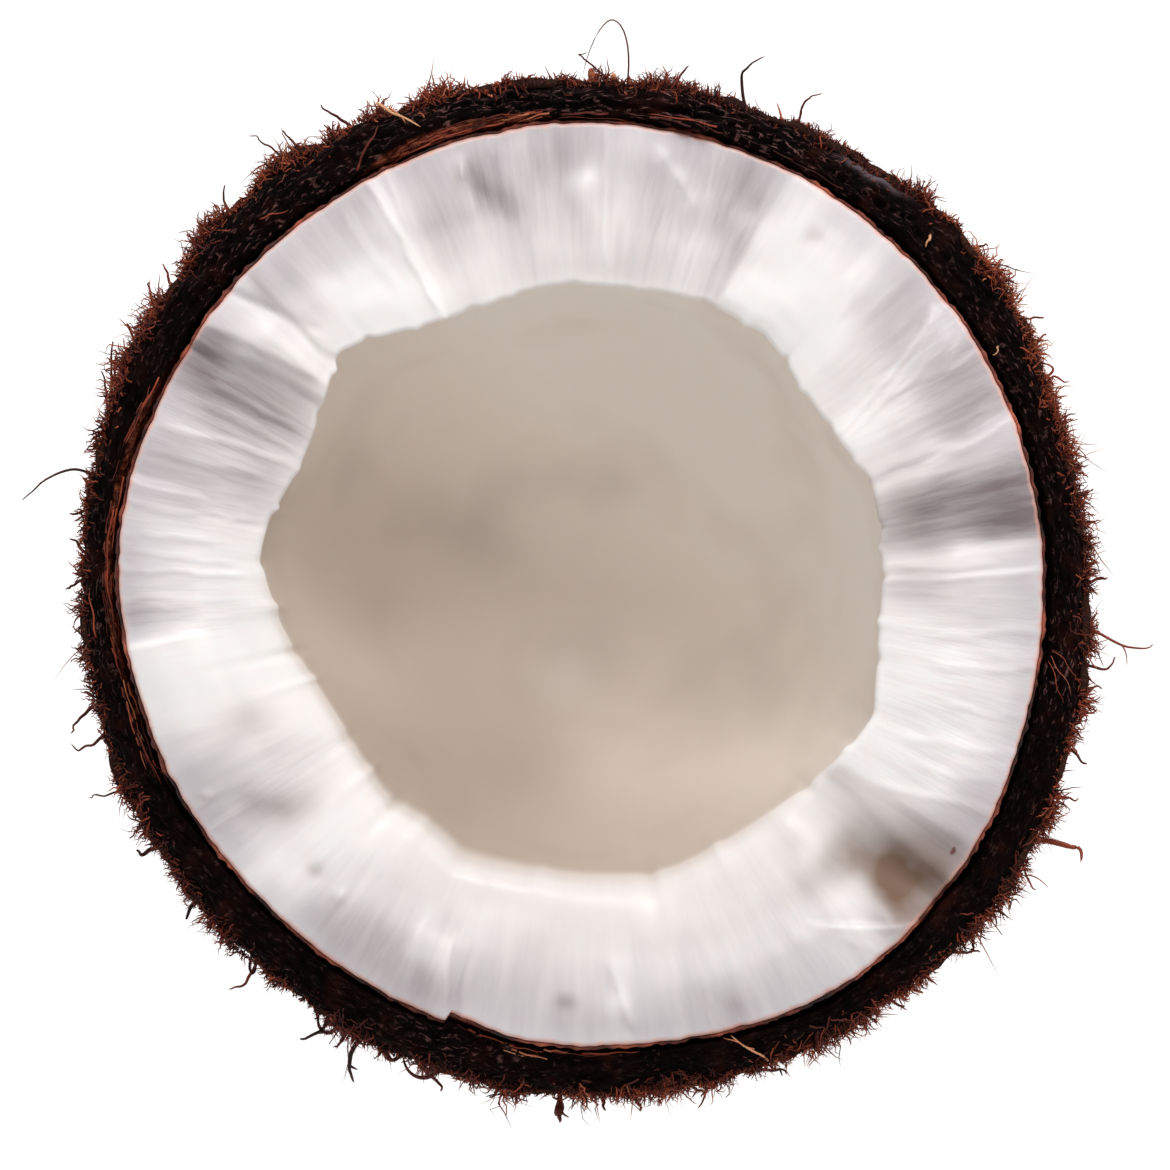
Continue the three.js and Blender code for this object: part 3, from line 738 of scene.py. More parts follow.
def fleshMaterial():
    look = fleshFinish
    material, tree, shader = newMaterial("coconutFlesh", {
        "Roughness": 0.42, "Specular IOR Level": 0.35, "Subsurface Weight": 0.5,
        "Subsurface Radius": (1.3 * mm, 1.05 * mm, 0.95 * mm), "Subsurface Scale": 1.0,
    })
    fine = noise(tree, streaksOut(tree, 1.0, 3.0), 44, 4, 0.58)
    broad = noise(tree, streaksOut(tree, 1.0, 3.5), 16, 3, 0.55)
    cloud = noise(tree, place(tree), 110, 3, 0.55)
    across = attribute(tree, "across")
    streaky = attribute(tree, "streaky")
    # Painted highlight: shade below 0 pulls the flesh towards its warm white
    paintedHighlight = math2(tree, "MINIMUM", attribute(tree, "shade"), 0.0)
    wavy = math2(tree, "ADD", across, math2(tree, "MULTIPLY", math2(tree, "SUBTRACT", broad), 0.9))
    wavy = math2(tree, "ADD", wavy, paintedHighlight)
    body = mixColour(tree, ramp(tree, wavy, [(0.4, 0.0), (1.12, 1.0)]), look["warm"], look["cool"])
    streak = math2(tree, "MULTIPLY", ramp(tree, fine, [(0.34, 0.42), (0.56, 0.0)]), streaky)
    body = mixColour(tree, streak, body, look["cool"])
    # Painted shade: shade above 0 darkens the flesh towards mauve-grey
    depth = math2(tree, "MULTIPLY", attribute(tree, "shade"),
                  ramp(tree, fine, [(0.3, 1.0), (0.7, 0.65)]))
    body = mixColour(tree, math2(tree, "MULTIPLY", depth, 0.86, clamp=True), body, look["paintedShadeMauve"])
    # Tan marks: partly real stains, partly painted shade in dents and on the lip
    tanMarksAndShade = math2(tree, "MULTIPLY", attribute(tree, "stainAndPaintedShade"),
                  ramp(tree, cloud, [(0.3, 0.6), (0.6, 1.0)]), clamp=True)
    body = mixColour(tree, tanMarksAndShade, body, look["tan"])
    body = mixColour(tree, ramp(tree, attribute(tree, "speck"), [(0.3, 0.0), (0.6, 0.9)]),
                     body, look["red"])
    edge = math2(tree, "ADD", across, math2(tree, "MULTIPLY", math2(tree, "SUBTRACT", fine), 0.04))
    body = mixColour(tree, ramp(tree, edge, [(0.97, 0.0), (1.0, 0.8)]), body, look["blush"])
    # Painted light and shade: the hollow's wall is paler towards +X and +Y and darker the other way
    paintedLightTilt = [share / (60 * mm) for share in look["hollowPaintedLightSide"]]
    side = vectorNode(tree, "DOT_PRODUCT", place(tree), 1, (*paintedLightTilt, 0)).outputs["Value"]
    pale = math2(tree, "ADD", side, look["hollowPaintedLightMiddle"], clamp=True)
    hollow = mixColour(tree, pale, look["hollowPaintedShaded"], look["hollowPaintedLit"])
    spots = noise(tree, place(tree), 60, 2, 0.5)
    cloudy = math2(tree, "ADD", attribute(tree, "smudge"),
                   ramp(tree, spots, [(0.3, 0.16), (0.46, 0.0)]), clamp=True)
    hollow = mixColour(tree, cloudy, hollow, look["hollowSpot"])
    whole = mixColour(tree, attribute(tree, "broken"), hollow, body)
    link(tree, whole, shader.inputs["Base Color"])
    bump(tree, shader, math2(tree, "MULTIPLY", fine, streaky), 0.14 * mm)
    return material


fleshOuter, fleshOuterHeight = makeFlesh(fleshMaterial())
print("flesh is made")

# Brown skin

skin = {
    "wallRows": 12,
    "ragged": (1.3, 0.045),  # width in columns and height of its torn edge
    "thick": 0.34,
    "sag": 0.22,  # how far it drops to the shell's side
    "gap": 0.01,  # from the flesh
    "deep": 0.6,  # how far its edge runs straight down beside the flesh
    "patches": (210, 4, 0.6),  # scale, detail and roughness of the colour
    "bumps": (1400, 3, 0.6),
    "bumpHeight": 0.1,
    "colours": [(0.38, (0.015, 0.003, 0.002)), (0.5, (0.10, 0.016, 0.008)),
                (0.66, (0.42, 0.11, 0.06))],
}


def makeSkin(material):
    wide, height = skin["ragged"]
    tear = height * grain((4, len(turns)), wide, 2, 41)
    top = fleshOuterHeight + tear[0]
    insideEdge = fleshOuter + skin["gap"]
    outsideEdge = insideEdge + skin["thick"] + tear[3]
    rings, edge = [], []

    def add(ring, edgeHere):
        rings.append(ring)
        edge.append(np.full(len(turns), edgeHere))

    for slope in np.linspace(slopes[-1], slopes[0], skin["wallRows"]):
        add(wallRing(skinOutside, slope), 0.0)
    add(levelRing(outsideEdge + 0.15 * tear[1], top - skin["sag"] * 2), 0.5)
    add(levelRing(outsideEdge + 0.4 * tear[2], top - skin["sag"] + tear[1]), 0.8)
    add(levelRing((insideEdge + outsideEdge) / 2, top), 1.0)
    add(levelRing(insideEdge + 0.05, top - 0.1), 1.0)
    add(levelRing(insideEdge, top - skin["deep"]), 0.6)
    for slope in np.linspace(slopes[0], slopes[-1], skin["wallRows"]):
        add(wallRing(skinInside, slope), 0.0)
    piece = addBowl("brownSkin", rings, {"edge": edge}, material)
    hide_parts("brown_skin")


def skinMaterial():
    material, tree, shader = newMaterial("brownSkin", {
        "Roughness": 0.5, "Specular IOR Level": 0.35, "Subsurface Weight": 0.3,
        "Subsurface Radius": (0.8 * mm, 0.25 * mm, 0.12 * mm), "Subsurface Scale": 1.0,
    })
    colour = ramp(tree, noise(tree, place(tree), *skin["patches"]), skin["colours"])
    link(tree, colour, shader.inputs["Base Color"])
    bump(tree, shader, noise(tree, place(tree), *skin["bumps"]), skin["bumpHeight"] * mm)
    return material


makeSkin(skinMaterial())
print("brown skin is made")

# Shell

shell = {
    "rimRows": 20,
    "crumbs": [(1.5, 1.1, 0.11), (3.5, 2, 0.11), (12, 5, 0.12)],  # width, depth, height
    "reach": 0.55,  # how far the broken rim spreads over the fibres' edge
    "rimRound": (0.9, 0.7),  # width and drop of its worn outer edge
    "innerRound": (0.5, 0.3),  # the same beside the brown skin
    # Where pale grains and painted glints show in the black: turn, degrees wide, strength
    "grainAndGlint": [(74, 17, 1.1), (104, 10, 0.6), (132, 13, 0.5), (183, 9, 0.4), (350, 7, 0.5),
               (22, 16, 0.35), (255, 8, 0.35)],
    "plain": 0.12,
    "layerWaves": (26, 1.4, 0.14),  # layers that show where the rim is scuffed
    "scuffed": [(84, 34), (152, 12)],  # turn, degrees wide
    "lips": [(106, 11, 0.34), (176, 22, 0.30)],  # brown inner strip: turn, degrees, share
    "lipDrop": 0.3,
    "lipSharp": 0.08,  # share of the rim over which the strip's edge drops
    "leastLip": 0.03,  # a narrower strip is left out
    "tuck": 0.2,  # how far it closes up towards the brown skin
    # Bare grey patches at the outer edge: turn, share, degrees wide, share wide, strength
    "bare": [(55.8, 0.94, 2.6, 0.11, 0.8), (52, 0.97, 2, 0.08, 0.5)],
    "ragged": 0.2,
    "footRows": 30,
    "footSlope": 60,  # where the bare foot begins
    "wallRows": 10,
    "black": [(0.4, (0.0016, 0.0004, 0.0003)), (0.56, (0.004, 0.0008, 0.0005)),
              (0.7, (0.015, 0.003, 0.0016))],
    "paleGrainAndGlint": (0.21, 0.10, 0.09),
    "bareGrey": (0.17, 0.125, 0.14),
    "strip": [(0.38, (0.02, 0.004, 0.002)), (0.52, (0.10, 0.02, 0.01)),
              (0.66, (0.30, 0.09, 0.045))],
    "worn": [(0.3, (0.05, 0.02, 0.011)), (0.55, (0.13, 0.06, 0.034)),
             (0.75, (0.26, 0.14, 0.08))],
    # Scale, detail and roughness of the textures
    "crumbNoise": (1700, 4, 0.65),
    "lumpNoise": (420, 3, 0.6),
    "patchNoise": (240, 3, 0.6),
    "wornNoise": (130, 5, 0.65),
    "grainNoise": (105, 3, 0.6),
    "grainStretch": (0.45, 32),  # drawn out round the nut, as the shell's own layers are
    "bumpHeight": 0.25,
}


def makeShell(material):
    shares = np.linspace(1, 0, shell["rimRows"])
    heights = topHeights("shell", shellInEdge, shellEdge, shares)
    for number, (wide, deep, height) in enumerate(shell["crumbs"]):
        heights += height * grain(heights.shape, wide, deep, 51 + number)
    wide, deep, height = shell["layerWaves"]
    scuffed = np.clip(bumpsRound(shell["scuffed"], power=4), 0, 1)
    heights += height * grain(heights.shape, wide, deep, 61) * scuffed
    lipShare = bumpsRound(shell["lips"], power=4)
    lip = easeIn((lipShare - shares[:, None]) / shell["lipSharp"] + 0.5)
    lip *= lipShare > shell["leastLip"]
    heights -= shell["lipDrop"] * lip
    tear = shell["ragged"] * grain((3, len(turns)), 4, 2, 71)
    outer = shellEdge + shell["reach"] + tear[0]
    inner = shellInEdge - shell["tuck"] - notchedIn()
    wide, drop = shell["rimRound"]
    edgeGap = (outer - inner) * (1 - shares[:, None])
    heights -= drop * np.clip(1 - edgeGap / wide, 0, 1) ** 2
    wide, drop = shell["innerRound"]
    edgeGap = (outer - inner) * shares[:, None]
    heights -= drop * np.clip(1 - edgeGap / wide, 0, 1) ** 2
    rings, broken, strip, grainAndGlint, bare = [], [], [], [], []
    grainAndGlintHere = shell["plain"] + bumpsRound(shell["grainAndGlint"])

    def add(ring, brokenHere, stripHere=0.0):
        rings.append(ring)
        broken.append(np.full(len(turns), brokenHere))
        strip.append(np.broadcast_to(stripHere, len(turns)))
        grainAndGlint.append(grainAndGlintHere)
        bare.append(np.zeros(len(turns)))

    for slope in np.linspace(slopes[-1], shell["footSlope"], shell["footRows"]):
        add(wallRing(shellOutside, slope), 0.0)
    for slope in np.linspace(shell["footSlope"] - 5, slopes[0], shell["wallRows"]):
        add(wallRing(shellOutside, slope), 0.3)
    for row, share in enumerate(shares):
        add(levelRing(inner + (outer - inner) * share, heights[row]), 1.0, lip[row])
        bare[-1] = np.clip(faceSwell(turns, np.float64(share), shell["bare"]), 0, 1)
    for slope in np.linspace(slopes[0], slopes[-1], shell["wallRows"]):
        add(wallRing(shellInside, slope), 0.5)
    values = {"broken": broken, "strip": strip, "grainAndGlint": grainAndGlint, "bare": bare}
    piece = addBowl("woodyShell", rings, values, material)
    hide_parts("shell")
    return inner, outer, heights


def shellMaterial():
    material, tree, shader = newMaterial("woodyShell", {"Specular IOR Level": 0.04})
    crumbs = noise(tree, place(tree), *shell["crumbNoise"])
    patches = noise(tree, place(tree), *shell["patchNoise"])
    grains = noise(tree, streaksOut(tree, *shell["grainStretch"]), *shell["grainNoise"])
    broken = ramp(tree, patches, shell["black"])
    # Pale grains, partly the shell's own grain and partly painted glints
    pale = math2(tree, "MULTIPLY", ramp(tree, grains, [(0.58, 0.0), (0.69, 1.0)]),
                 attribute(tree, "grainAndGlint"), clamp=True)
    broken = mixColour(tree, pale, broken, shell["paleGrainAndGlint"])
    broken = mixColour(tree, attribute(tree, "bare"), broken, shell["bareGrey"])
    link(tree, ramp(tree, grains, [(0.45, 0.75), (0.68, 0.38)]), shader.inputs["Roughness"])
    broken = mixColour(tree, attribute(tree, "strip"), broken, ramp(tree, grains, shell["strip"]))
    worn = ramp(tree, noise(tree, place(tree), *shell["wornNoise"]), shell["worn"])
    colour = mixColour(tree, attribute(tree, "broken"), worn, broken)
    link(tree, colour, shader.inputs["Base Color"])
    height = math2(tree, "ADD", crumbs, noise(tree, place(tree), *shell["lumpNoise"]))
    bump(tree, shader, height, shell["bumpHeight"] * mm)
    return material


rimInner, rimOuter, rimHeights = makeShell(shellMaterial())
print("shell is made")


def rimPoint(turn, away, proud):
    # points over the shell's broken rim, for arrays of turns and distances from the axis
    column = (np.asarray(turn) % 360 / 360 * len(turns)).astype(int)
    share = (away - rimInner[column]) / (rimOuter[column] - rimInner[column])
    row = np.clip((1 - share) * (len(rimHeights) - 1), 0, len(rimHeights) - 1).astype(int)
    height = rimHeights[row, column] + proud
    return np.stack([away * np.cos(np.radians(turn)), away * np.sin(np.radians(turn)), height], -1)


# Matted husk fibres

mat = {
    "rows": 64,
    "insideRows": 6,
    "ridges": [(2.5, 2.5, 0.1), (5, 5, 0.13), (18, 12, 0.14)],  # width, length, height
    "topDrop": 1.2,  # below the shell's edge
    "topRagged": 0.3,
    "footSlope": 64.5,
    "footRagged": 1.2,
    "dark": [(0.3, (0.02, 0.005, 0.003)), (0.5, (0.06, 0.016, 0.008)),
             (0.72, (0.17, 0.055, 0.025))],
    "light": [(0.3, (0.05, 0.015, 0.008)), (0.5, (0.14, 0.048, 0.022)),
              (0.72, (0.32, 0.14, 0.07))],
    "topColour": (0.02, 0.005, 0.003),
    "threads": (120, 5, 0.6),  # scale, detail and roughness
    "patches": (70, 3, 0.6),
    "bumpHeight": 0.5,
}


def matEdges():
    top = topHeights("shell", shellInEdge, shellEdge, [0.9])[0] - mat["topDrop"]
    top = top + mat["topRagged"] * grain((3, len(turns)), 7, 2, 81)[0]
    topSlope = np.degrees(np.arcsin(np.clip((middleHeight - top) / shellEdge, -0.1, 0.3)))
    foot = mat["footSlope"] + mat["footRagged"] * grain((3, len(turns)), 14, 2, 82)[0]
    return topSlope, foot


def matSurface():
    # how far the mat's outside is from the middle of the crack, at every slope and turn
    relief = sum(height * grain(matInside.shape, wide, long, 83 + number)
                 for number, (wide, long, height) in enumerate(mat["ridges"]))
    return matInside + matWall + relief


def makeMat(material, surface):
    topSlope, foot = matEdges()
    rings, tone = [], []
    for row in range(mat["rows"]):
        slope = foot + (topSlope - foot) * row / (mat["rows"] - 1)
        rings.append(wallRing(surface, slope))
        tone.append(np.full(len(turns), row / mat["rows"]))
    for row in range(mat["insideRows"]):
        slope = topSlope + (foot - topSlope) * row / (mat["insideRows"] - 1)
        rings.append(wallRing(matInside, slope))
        tone.append(np.full(len(turns), 1 - row / mat["insideRows"]))
    piece = addRing("fibreMat", rings, {"tone": tone}, material)
    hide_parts("husk_fibres")


def matMaterial():
    material, tree, shader = newMaterial("mattedFibre", {
        "Roughness": 0.85, "Specular IOR Level": 0.2,
    })
    threads = noise(tree, streaksOut(tree, 1.0, 1.2), *mat["threads"])
    patches = noise(tree, place(tree), *mat["patches"])
    colour = mixColour(tree, ramp(tree, patches, [(0.4, 0.0), (0.65, 1.0)]),
                       ramp(tree, threads, mat["dark"]), ramp(tree, threads, mat["light"]))
    colour = mixColour(tree, ramp(tree, attribute(tree, "tone"), [(0.9, 0.0), (0.97, 0.85)]),
                       colour, mat["topColour"])
    link(tree, colour, shader.inputs["Base Color"])
    bump(tree, shader, threads, mat["bumpHeight"] * mm)
    return material


matTop = matSurface()
makeMat(matMaterial(), matTop)
print("fibre mat is made")

# Fibres

fibre = {
    "lowest": 0.25,  # mm above the floor
    "tip": 0.65,  # how much of its thickness a fibre loses towards its tip
    "bulbAt": (0.66, 0.2),  # where along a fibre it swells, and over how much of it
    # By tone, from 0 to 1
    "colours": [(0.0, (0.012, 0.003, 0.002)), (0.3, (0.10, 0.013, 0.006)),
                (0.55, (0.33, 0.056, 0.022)), (0.8, (0.54, 0.19, 0.09)),
                (1.0, (0.70, 0.38, 0.21))],
    "toneSpread": 0.3,  # how far the tone varies along a fibre
    "spots": (800, 2, 0.5),  # scale, detail and roughness
    "bumps": (2500, 2, 0.5),
    "bumpHeight": 0.05,
}


def surfacePoint(slope, turn, proud):
    # points over the mat for arrays of slopes and turns
    row = np.clip(slope - slopes[0], 0, len(slopes) - 1.001)
    column = (turn % 360) / 360 * len(turns)
    low, left = row.astype(int), column.astype(int) % len(turns)
    right = (left + 1) % len(turns)
    down, over = row - low, column - column.astype(int)
    away = ((1 - down) * (1 - over) * matTop[low, left] + (1 - down) * over * matTop[low, right]
            + down * (1 - over) * matTop[low + 1, left] + down * over * matTop[low + 1, right])
    return (away + proud)[..., None] * outwardsAt(slope, turn) + (0, 0, middleHeight)


def addFibres(name, paths, thick, tone, sides=3, bulb=0):
    # closed tubes that taper to a point: paths is (fibres, points, 3), and bulb is how much
    # thicker each fibre grows past its middle
    count, steps = paths.shape[:2]
    paths = paths.copy()
    paths[..., 2] = np.maximum(paths[..., 2], fibre["lowest"])
    along = np.gradient(paths, axis=1)
    along /= np.linalg.norm(along, axis=-1, keepdims=True) + 1e-9
    lean = np.random.default_rng(5).standard_normal((count, 1, 3))
    side = np.cross(along, lean)
    side /= np.linalg.norm(side, axis=-1, keepdims=True) + 1e-9
    up = np.cross(along, side)
    share = np.linspace(0, 1, steps)
    taper = 1 - fibre["tip"] * share**2
    middle, wide = fibre["bulbAt"]
    swollen = np.exp(-((share - middle) / wide) ** 2)
    taper = taper * (1 + np.broadcast_to(bulb, count)[:, None] * swollen)
    angles = np.arange(sides) * 2 * np.pi / sides
    radius = thick[:, None] / 2 * taper
    ways = (np.cos(angles)[:, None] * side[:, :-1, None]
            + np.sin(angles)[:, None] * up[:, :-1, None])
    rings = paths[:, :-1, None] + radius[:, :-1, None, None] * ways
    perFibre = (steps - 1) * sides + 1
    points = np.concatenate([rings.reshape(count, -1, 3), paths[:, -1:]], 1).reshape(-1, 3)
    faces = []
    for step in range(steps - 2):
        for k in range(sides):
            a, b = step * sides + k, step * sides + (k + 1) % sides
            faces.append([a, b, b + sides, a + sides])
    last = (steps - 2) * sides
    tips = [[last + k, last + (k + 1) % sides, perFibre - 1] for k in range(sides)]
    root = [list(range(sides))[::-1]]
    whole = []
    for part in (faces, tips, root):
        start = (np.arange(count) * perFibre)[:, None, None]
        whole += (start + np.array(part)[None]).reshape(-1, len(part[0])).tolist()
    values = {"tone": np.repeat(tone, perFibre)}
    return addPiece(name, points, whole, values, huskFibre)


def fibreMaterial():
    material, tree, shader = newMaterial("huskFibre", {
        "Roughness": 0.6, "Specular IOR Level": 0.3, "Subsurface Weight": 0.25,
        "Subsurface Radius": (0.5 * mm, 0.2 * mm, 0.1 * mm), "Subsurface Scale": 1.0,
    })
    spots = noise(tree, place(tree), *fibre["spots"])
    shade = math2(tree, "ADD", attribute(tree, "tone"),
                  math2(tree, "MULTIPLY", math2(tree, "SUBTRACT", spots), fibre["toneSpread"]))
    link(tree, ramp(tree, shade, fibre["colours"]), shader.inputs["Base Color"])
    bump(tree, shader, noise(tree, place(tree), *fibre["bumps"]), fibre["bumpHeight"] * mm)
    return material


huskFibre = fibreMaterial()

lying = {
    "pieces": 3,
    "count": 4200,  # fibres in each piece
    "points": 7,
    "length": (7, 26),  # mm
    "thick": (0.12, 0.34),
    "lean": 9,  # degrees off the straight way from pole to pole
    "lift": (0.0, 0.3),
    "sunk": 0.1,  # mm into the mat
    "starts": (0.03, 0.93),  # sines of the slopes where fibres may start
    "topEnds": (1.8, 8),  # slopes where fibres may end
    "footEnds": (63, 68),
    "endLift": 0.28,
    "bend": 1.6,  # mm aside
    "shortest": 2,  # mm from end to end; shorter ones are left out
    "tone": (0.5, 0.22),  # middle and spread
    "radius": 50,  # mm, for turning lengths into degrees
    "leastRadius": 14,  # the same, near the foot
}


def makeLyingFibres():
    for number in range(lying["pieces"]):
        rng = np.random.default_rng(100 + number)
        count = lying["count"]
        steps = np.linspace(0, 1, lying["points"])
        start = np.degrees(np.arcsin(rng.uniform(*lying["starts"], count)))
        turn = rng.uniform(0, 360, count)
        length = rng.uniform(*lying["length"], count)
        way = rng.choice([-1, 1], count)
        top, foot = rng.uniform(*lying["topEnds"], count), rng.uniform(*lying["footEnds"], count)
        start = np.clip(start, top + 1, foot - 1)
        room = np.where(way < 0, start - top, foot - start)
        length = np.minimum(length, np.radians(room) * lying["radius"])
        slope = start[:, None] + (way * np.degrees(length / lying["radius"]))[:, None] * steps
        lean = np.radians(rng.normal(0, lying["lean"], count))
        bend = rng.normal(0, lying["bend"], count)
        sway = length[:, None] * np.tan(lean)[:, None] * steps + bend[:, None] * steps**2
        radius = lying["radius"] * np.cos(np.radians(slope))
        turnAlong = turn[:, None] + np.degrees(sway / np.maximum(radius, lying["leastRadius"]))
        lift = rng.uniform(*lying["lift"], count)[:, None]
        ends = rng.exponential(lying["endLift"], count)[:, None] * steps**4
        paths = surfacePoint(slope, turnAlong, lift + ends - lying["sunk"])
        moved = np.linalg.norm(paths[:, -1] - paths[:, 0], axis=-1) > lying["shortest"]
        tone = np.clip(rng.normal(*lying["tone"], count), 0.02, 1)
        thick = rng.uniform(*lying["thick"], count)
        addFibres(f"lyingFibres{number + 1}", paths[moved], thick[moved], tone[moved])


makeLyingFibres()
print("lying fibres are made")

fuzz = {
    "points": 6,
    "root": 0.15,  # how deep a fibre starts in the mat
    "curl": 1.4,
    "kinks": 0.09,  # share of a fibre's length
    # Over the whole outside: spread is how far fibres stray from straight out, slopes are
    # degrees below the crack, tone is its middle and spread
    "count": 4800,
    "length": (0.5, 2.4),
    "thick": (0.08, 0.22),
    "slopes": (6, 66),
    "spread": 0.7,
    "tone": (0.45, 0.2),
    # Round the rim, in two pieces
    "rimCount": 7600,
    "rimLength": (0.35, 1.6),
    "rimThick": (0.09, 0.25),
    "rimSlopes": (1.2, 9),
    "rimSpread": (1.1, 2.2),
    "rimTone": (0.27, 0.17),
    # Short bristles that lie over the rim's outer edge
    "bristles": 5200,
    "bristleLength": (0.4, 1.6),
    "bristleThick": (0.1, 0.26),
    "bristleAway": (-1.3, 0.5),  # from the rim's outer edge
    "bristleFade": 0.36,  # mm inwards over which they thin out
    "bristleDrop": 0.9,  # how steeply their roots fall away past the edge
    "bristleSpread": 1.3,
    "bristleFlat": (1, 1, 0.3),  # how much of that is along X, Y and Z
    "bristleCurl": 0.8,
    "bristleTone": (0.2, 0.15),
    # Where fibres are lighter and redder: turn, degrees wide, how much
    "reddest": [(30, 16, 0.26), (125, 26, 0.12), (158, 10, 0.08), (342, 16, 0.16), (308, 12, 0.1),
                (278, 12, 0.06), (207, 5, 0.08), (100, 12, 0.1), (226, 22, -0.1), (252, 12, -0.04)],
    # Where it grows longer or shorter: turn, degrees wide, how much longer
    "tufts": [
        (88, 1.2, 0.9), (38, 5, 1.1), (32, 2.5, 0.6), (20, 4, 0.7), (2, 2.5, 0.8), (57, 5, -0.8),
        (74, 5, -0.3), (98, 6, -0.6), (114, 2.5, 0.6), (127, 4, 1.3), (136, 3, 0.7),
        (147, 3.5, 0.9), (155, 3.5, 0.7), (167, 5, -0.4), (176, 2, 0.4), (193, 6, -0.4),
        (217, 20, -0.35), (208, 4, 0.4), (221, 3, 0.3), (231, 4, -0.3), (240, 4, 0.9),
        (251, 3, 0.8), (260, 3, 0.4), (276, 3, 0.5), (285, 4, 0.9), (304, 6, 0.8), (320, 3, 0.5),
        (329, 3, 0.8), (338, 4, 0.6), (346, 2.5, 0.8), (353, 3, 0.7),
    ],
    "clumps": (4.2, 0.95),  # columns wide, how uneven
    # Least and most: by tufts, by clumps, and by both
    "tuftLimits": (0.15, 3),
    "clumpLimits": (0.12, 2.3),
    "growthLimits": (0.12, 2.2),
    "thinned": 0.62,  # share of fibres kept where they grow to their usual length
}


def tuftLength(turn):
    grown = 1 + bumpsRound(fuzz["tufts"], turn)
    wide, uneven = fuzz["clumps"]
    clump = 1 + uneven * grain((3, len(turns)), wide, 2, 91)[0]
    clump = clump[(turn / 360 * len(turns)).astype(int)]
    growth = np.clip(grown, *fuzz["tuftLimits"]) * np.clip(clump, *fuzz["clumpLimits"])
    return np.clip(growth, *fuzz["growthLimits"])


def toneAt(rng, turn, middle, spread):
    # random tones round a middle one, redder where the mat is
    usual = rng.normal(middle, spread, np.shape(turn) or None)
    return np.clip(usual + bumpsRound(fuzz["reddest"], turn), 0.02, 1)


def curled(rng, roots, way, length, points, curl):
    # paths that leave their roots along way and curl off to one side
    steps = np.linspace(0, 1, points)
    aside = rng.standard_normal(way.shape)
    aside -= way * (aside * way).sum(-1, keepdims=True)
    aside /= np.linalg.norm(aside, axis=-1, keepdims=True) + 1e-9
    bend = curl[:, None] * steps**2
    angle = np.minimum(bend, 1.5) + 1e-6
    onwards = np.sin(angle) / angle * steps
    sideways = 0.5 * bend * steps
    shape = onwards[..., None] * way[:, None] + sideways[..., None] * aside[:, None]
    paths = roots[:, None] + length[:, None, None] * shape
    kinks = rng.normal(0, fuzz["kinks"], paths.shape) * length[:, None, None] * steps[:, None]
    return paths + kinks


def turnedOut(way, turn):
    # fibres at the rim lean away from the crack, so those that point in are turned round
    outwards = outwardsAt(np.zeros(len(turn)), turn)
    facing = (way * outwards).sum(-1, keepdims=True)
    return way - 2 * np.minimum(facing, 0) * outwards


def makeFuzz(name, count, lengths, thick, slopeRange, spread, seed, tones):
    rng = np.random.default_rng(seed)
    slope = np.degrees(np.arcsin(rng.uniform(*np.sin(np.radians(slopeRange)), count)))
    turn = rng.uniform(0, 360, count)
    roots = surfacePoint(slope, turn, -fuzz["root"])
    way = turnedOut(outwardsAt(slope, turn) + rng.normal(0, spread, (count, 3)), turn)
    way /= np.linalg.norm(way, axis=-1, keepdims=True)
    length = rng.uniform(*lengths, count) * rng.uniform(0.5, 1, count) * tuftLength(turn)
    curl = np.abs(rng.normal(0, fuzz["curl"], count))
    paths = curled(rng, roots, way, length, fuzz["points"], curl)
    tone = toneAt(rng, turn, *tones)
    keep = rng.random(count) < fuzz["thinned"] * tuftLength(turn)
    addFibres(name, paths[keep], rng.uniform(*thick, count)[keep], tone[keep])


def makeBristles():
    # short fibres that hang together over the outer edge of the broken rim
    rng = np.random.default_rng(211)
    count = fuzz["bristles"]
    turn = rng.uniform(0, 360, count)
    column = (turn / 360 * len(turns)).astype(int)
    away = rimOuter[column] + fuzz["bristleAway"][1] - rng.exponential(fuzz["bristleFade"], count)
    away = np.maximum(away, rimOuter[column] + fuzz["bristleAway"][0])
    roots = rimPoint(turn, away, 0.02)
    roots[:, 2] -= fuzz["bristleDrop"] * np.clip(away - rimOuter[column], 0, 1)
    stray = rng.normal(0, fuzz["bristleSpread"], (count, 3)) * fuzz["bristleFlat"]
    way = turnedOut(outwardsAt(np.zeros(count), turn) + stray, turn)
    way /= np.linalg.norm(way, axis=-1, keepdims=True)
    length = rng.uniform(*fuzz["bristleLength"], count) * tuftLength(turn) ** 0.5
    curl = np.abs(rng.normal(0, fuzz["bristleCurl"], count))
    paths = curled(rng, roots, way, length, fuzz["points"], curl)
    tone = toneAt(rng, turn, *fuzz["bristleTone"])
    addFibres("rimBristles", paths, rng.uniform(*fuzz["bristleThick"], count), tone)


makeFuzz("fuzz", fuzz["count"], fuzz["length"], fuzz["thick"], fuzz["slopes"], fuzz["spread"],
         201, fuzz["tone"])
for number, spread in enumerate(fuzz["rimSpread"]):
    makeFuzz(f"rimFuzz{number + 1}", fuzz["rimCount"], fuzz["rimLength"], fuzz["rimThick"],
             fuzz["rimSlopes"], spread, 202 + number, fuzz["rimTone"])
makeBristles()
print("fuzz is made")

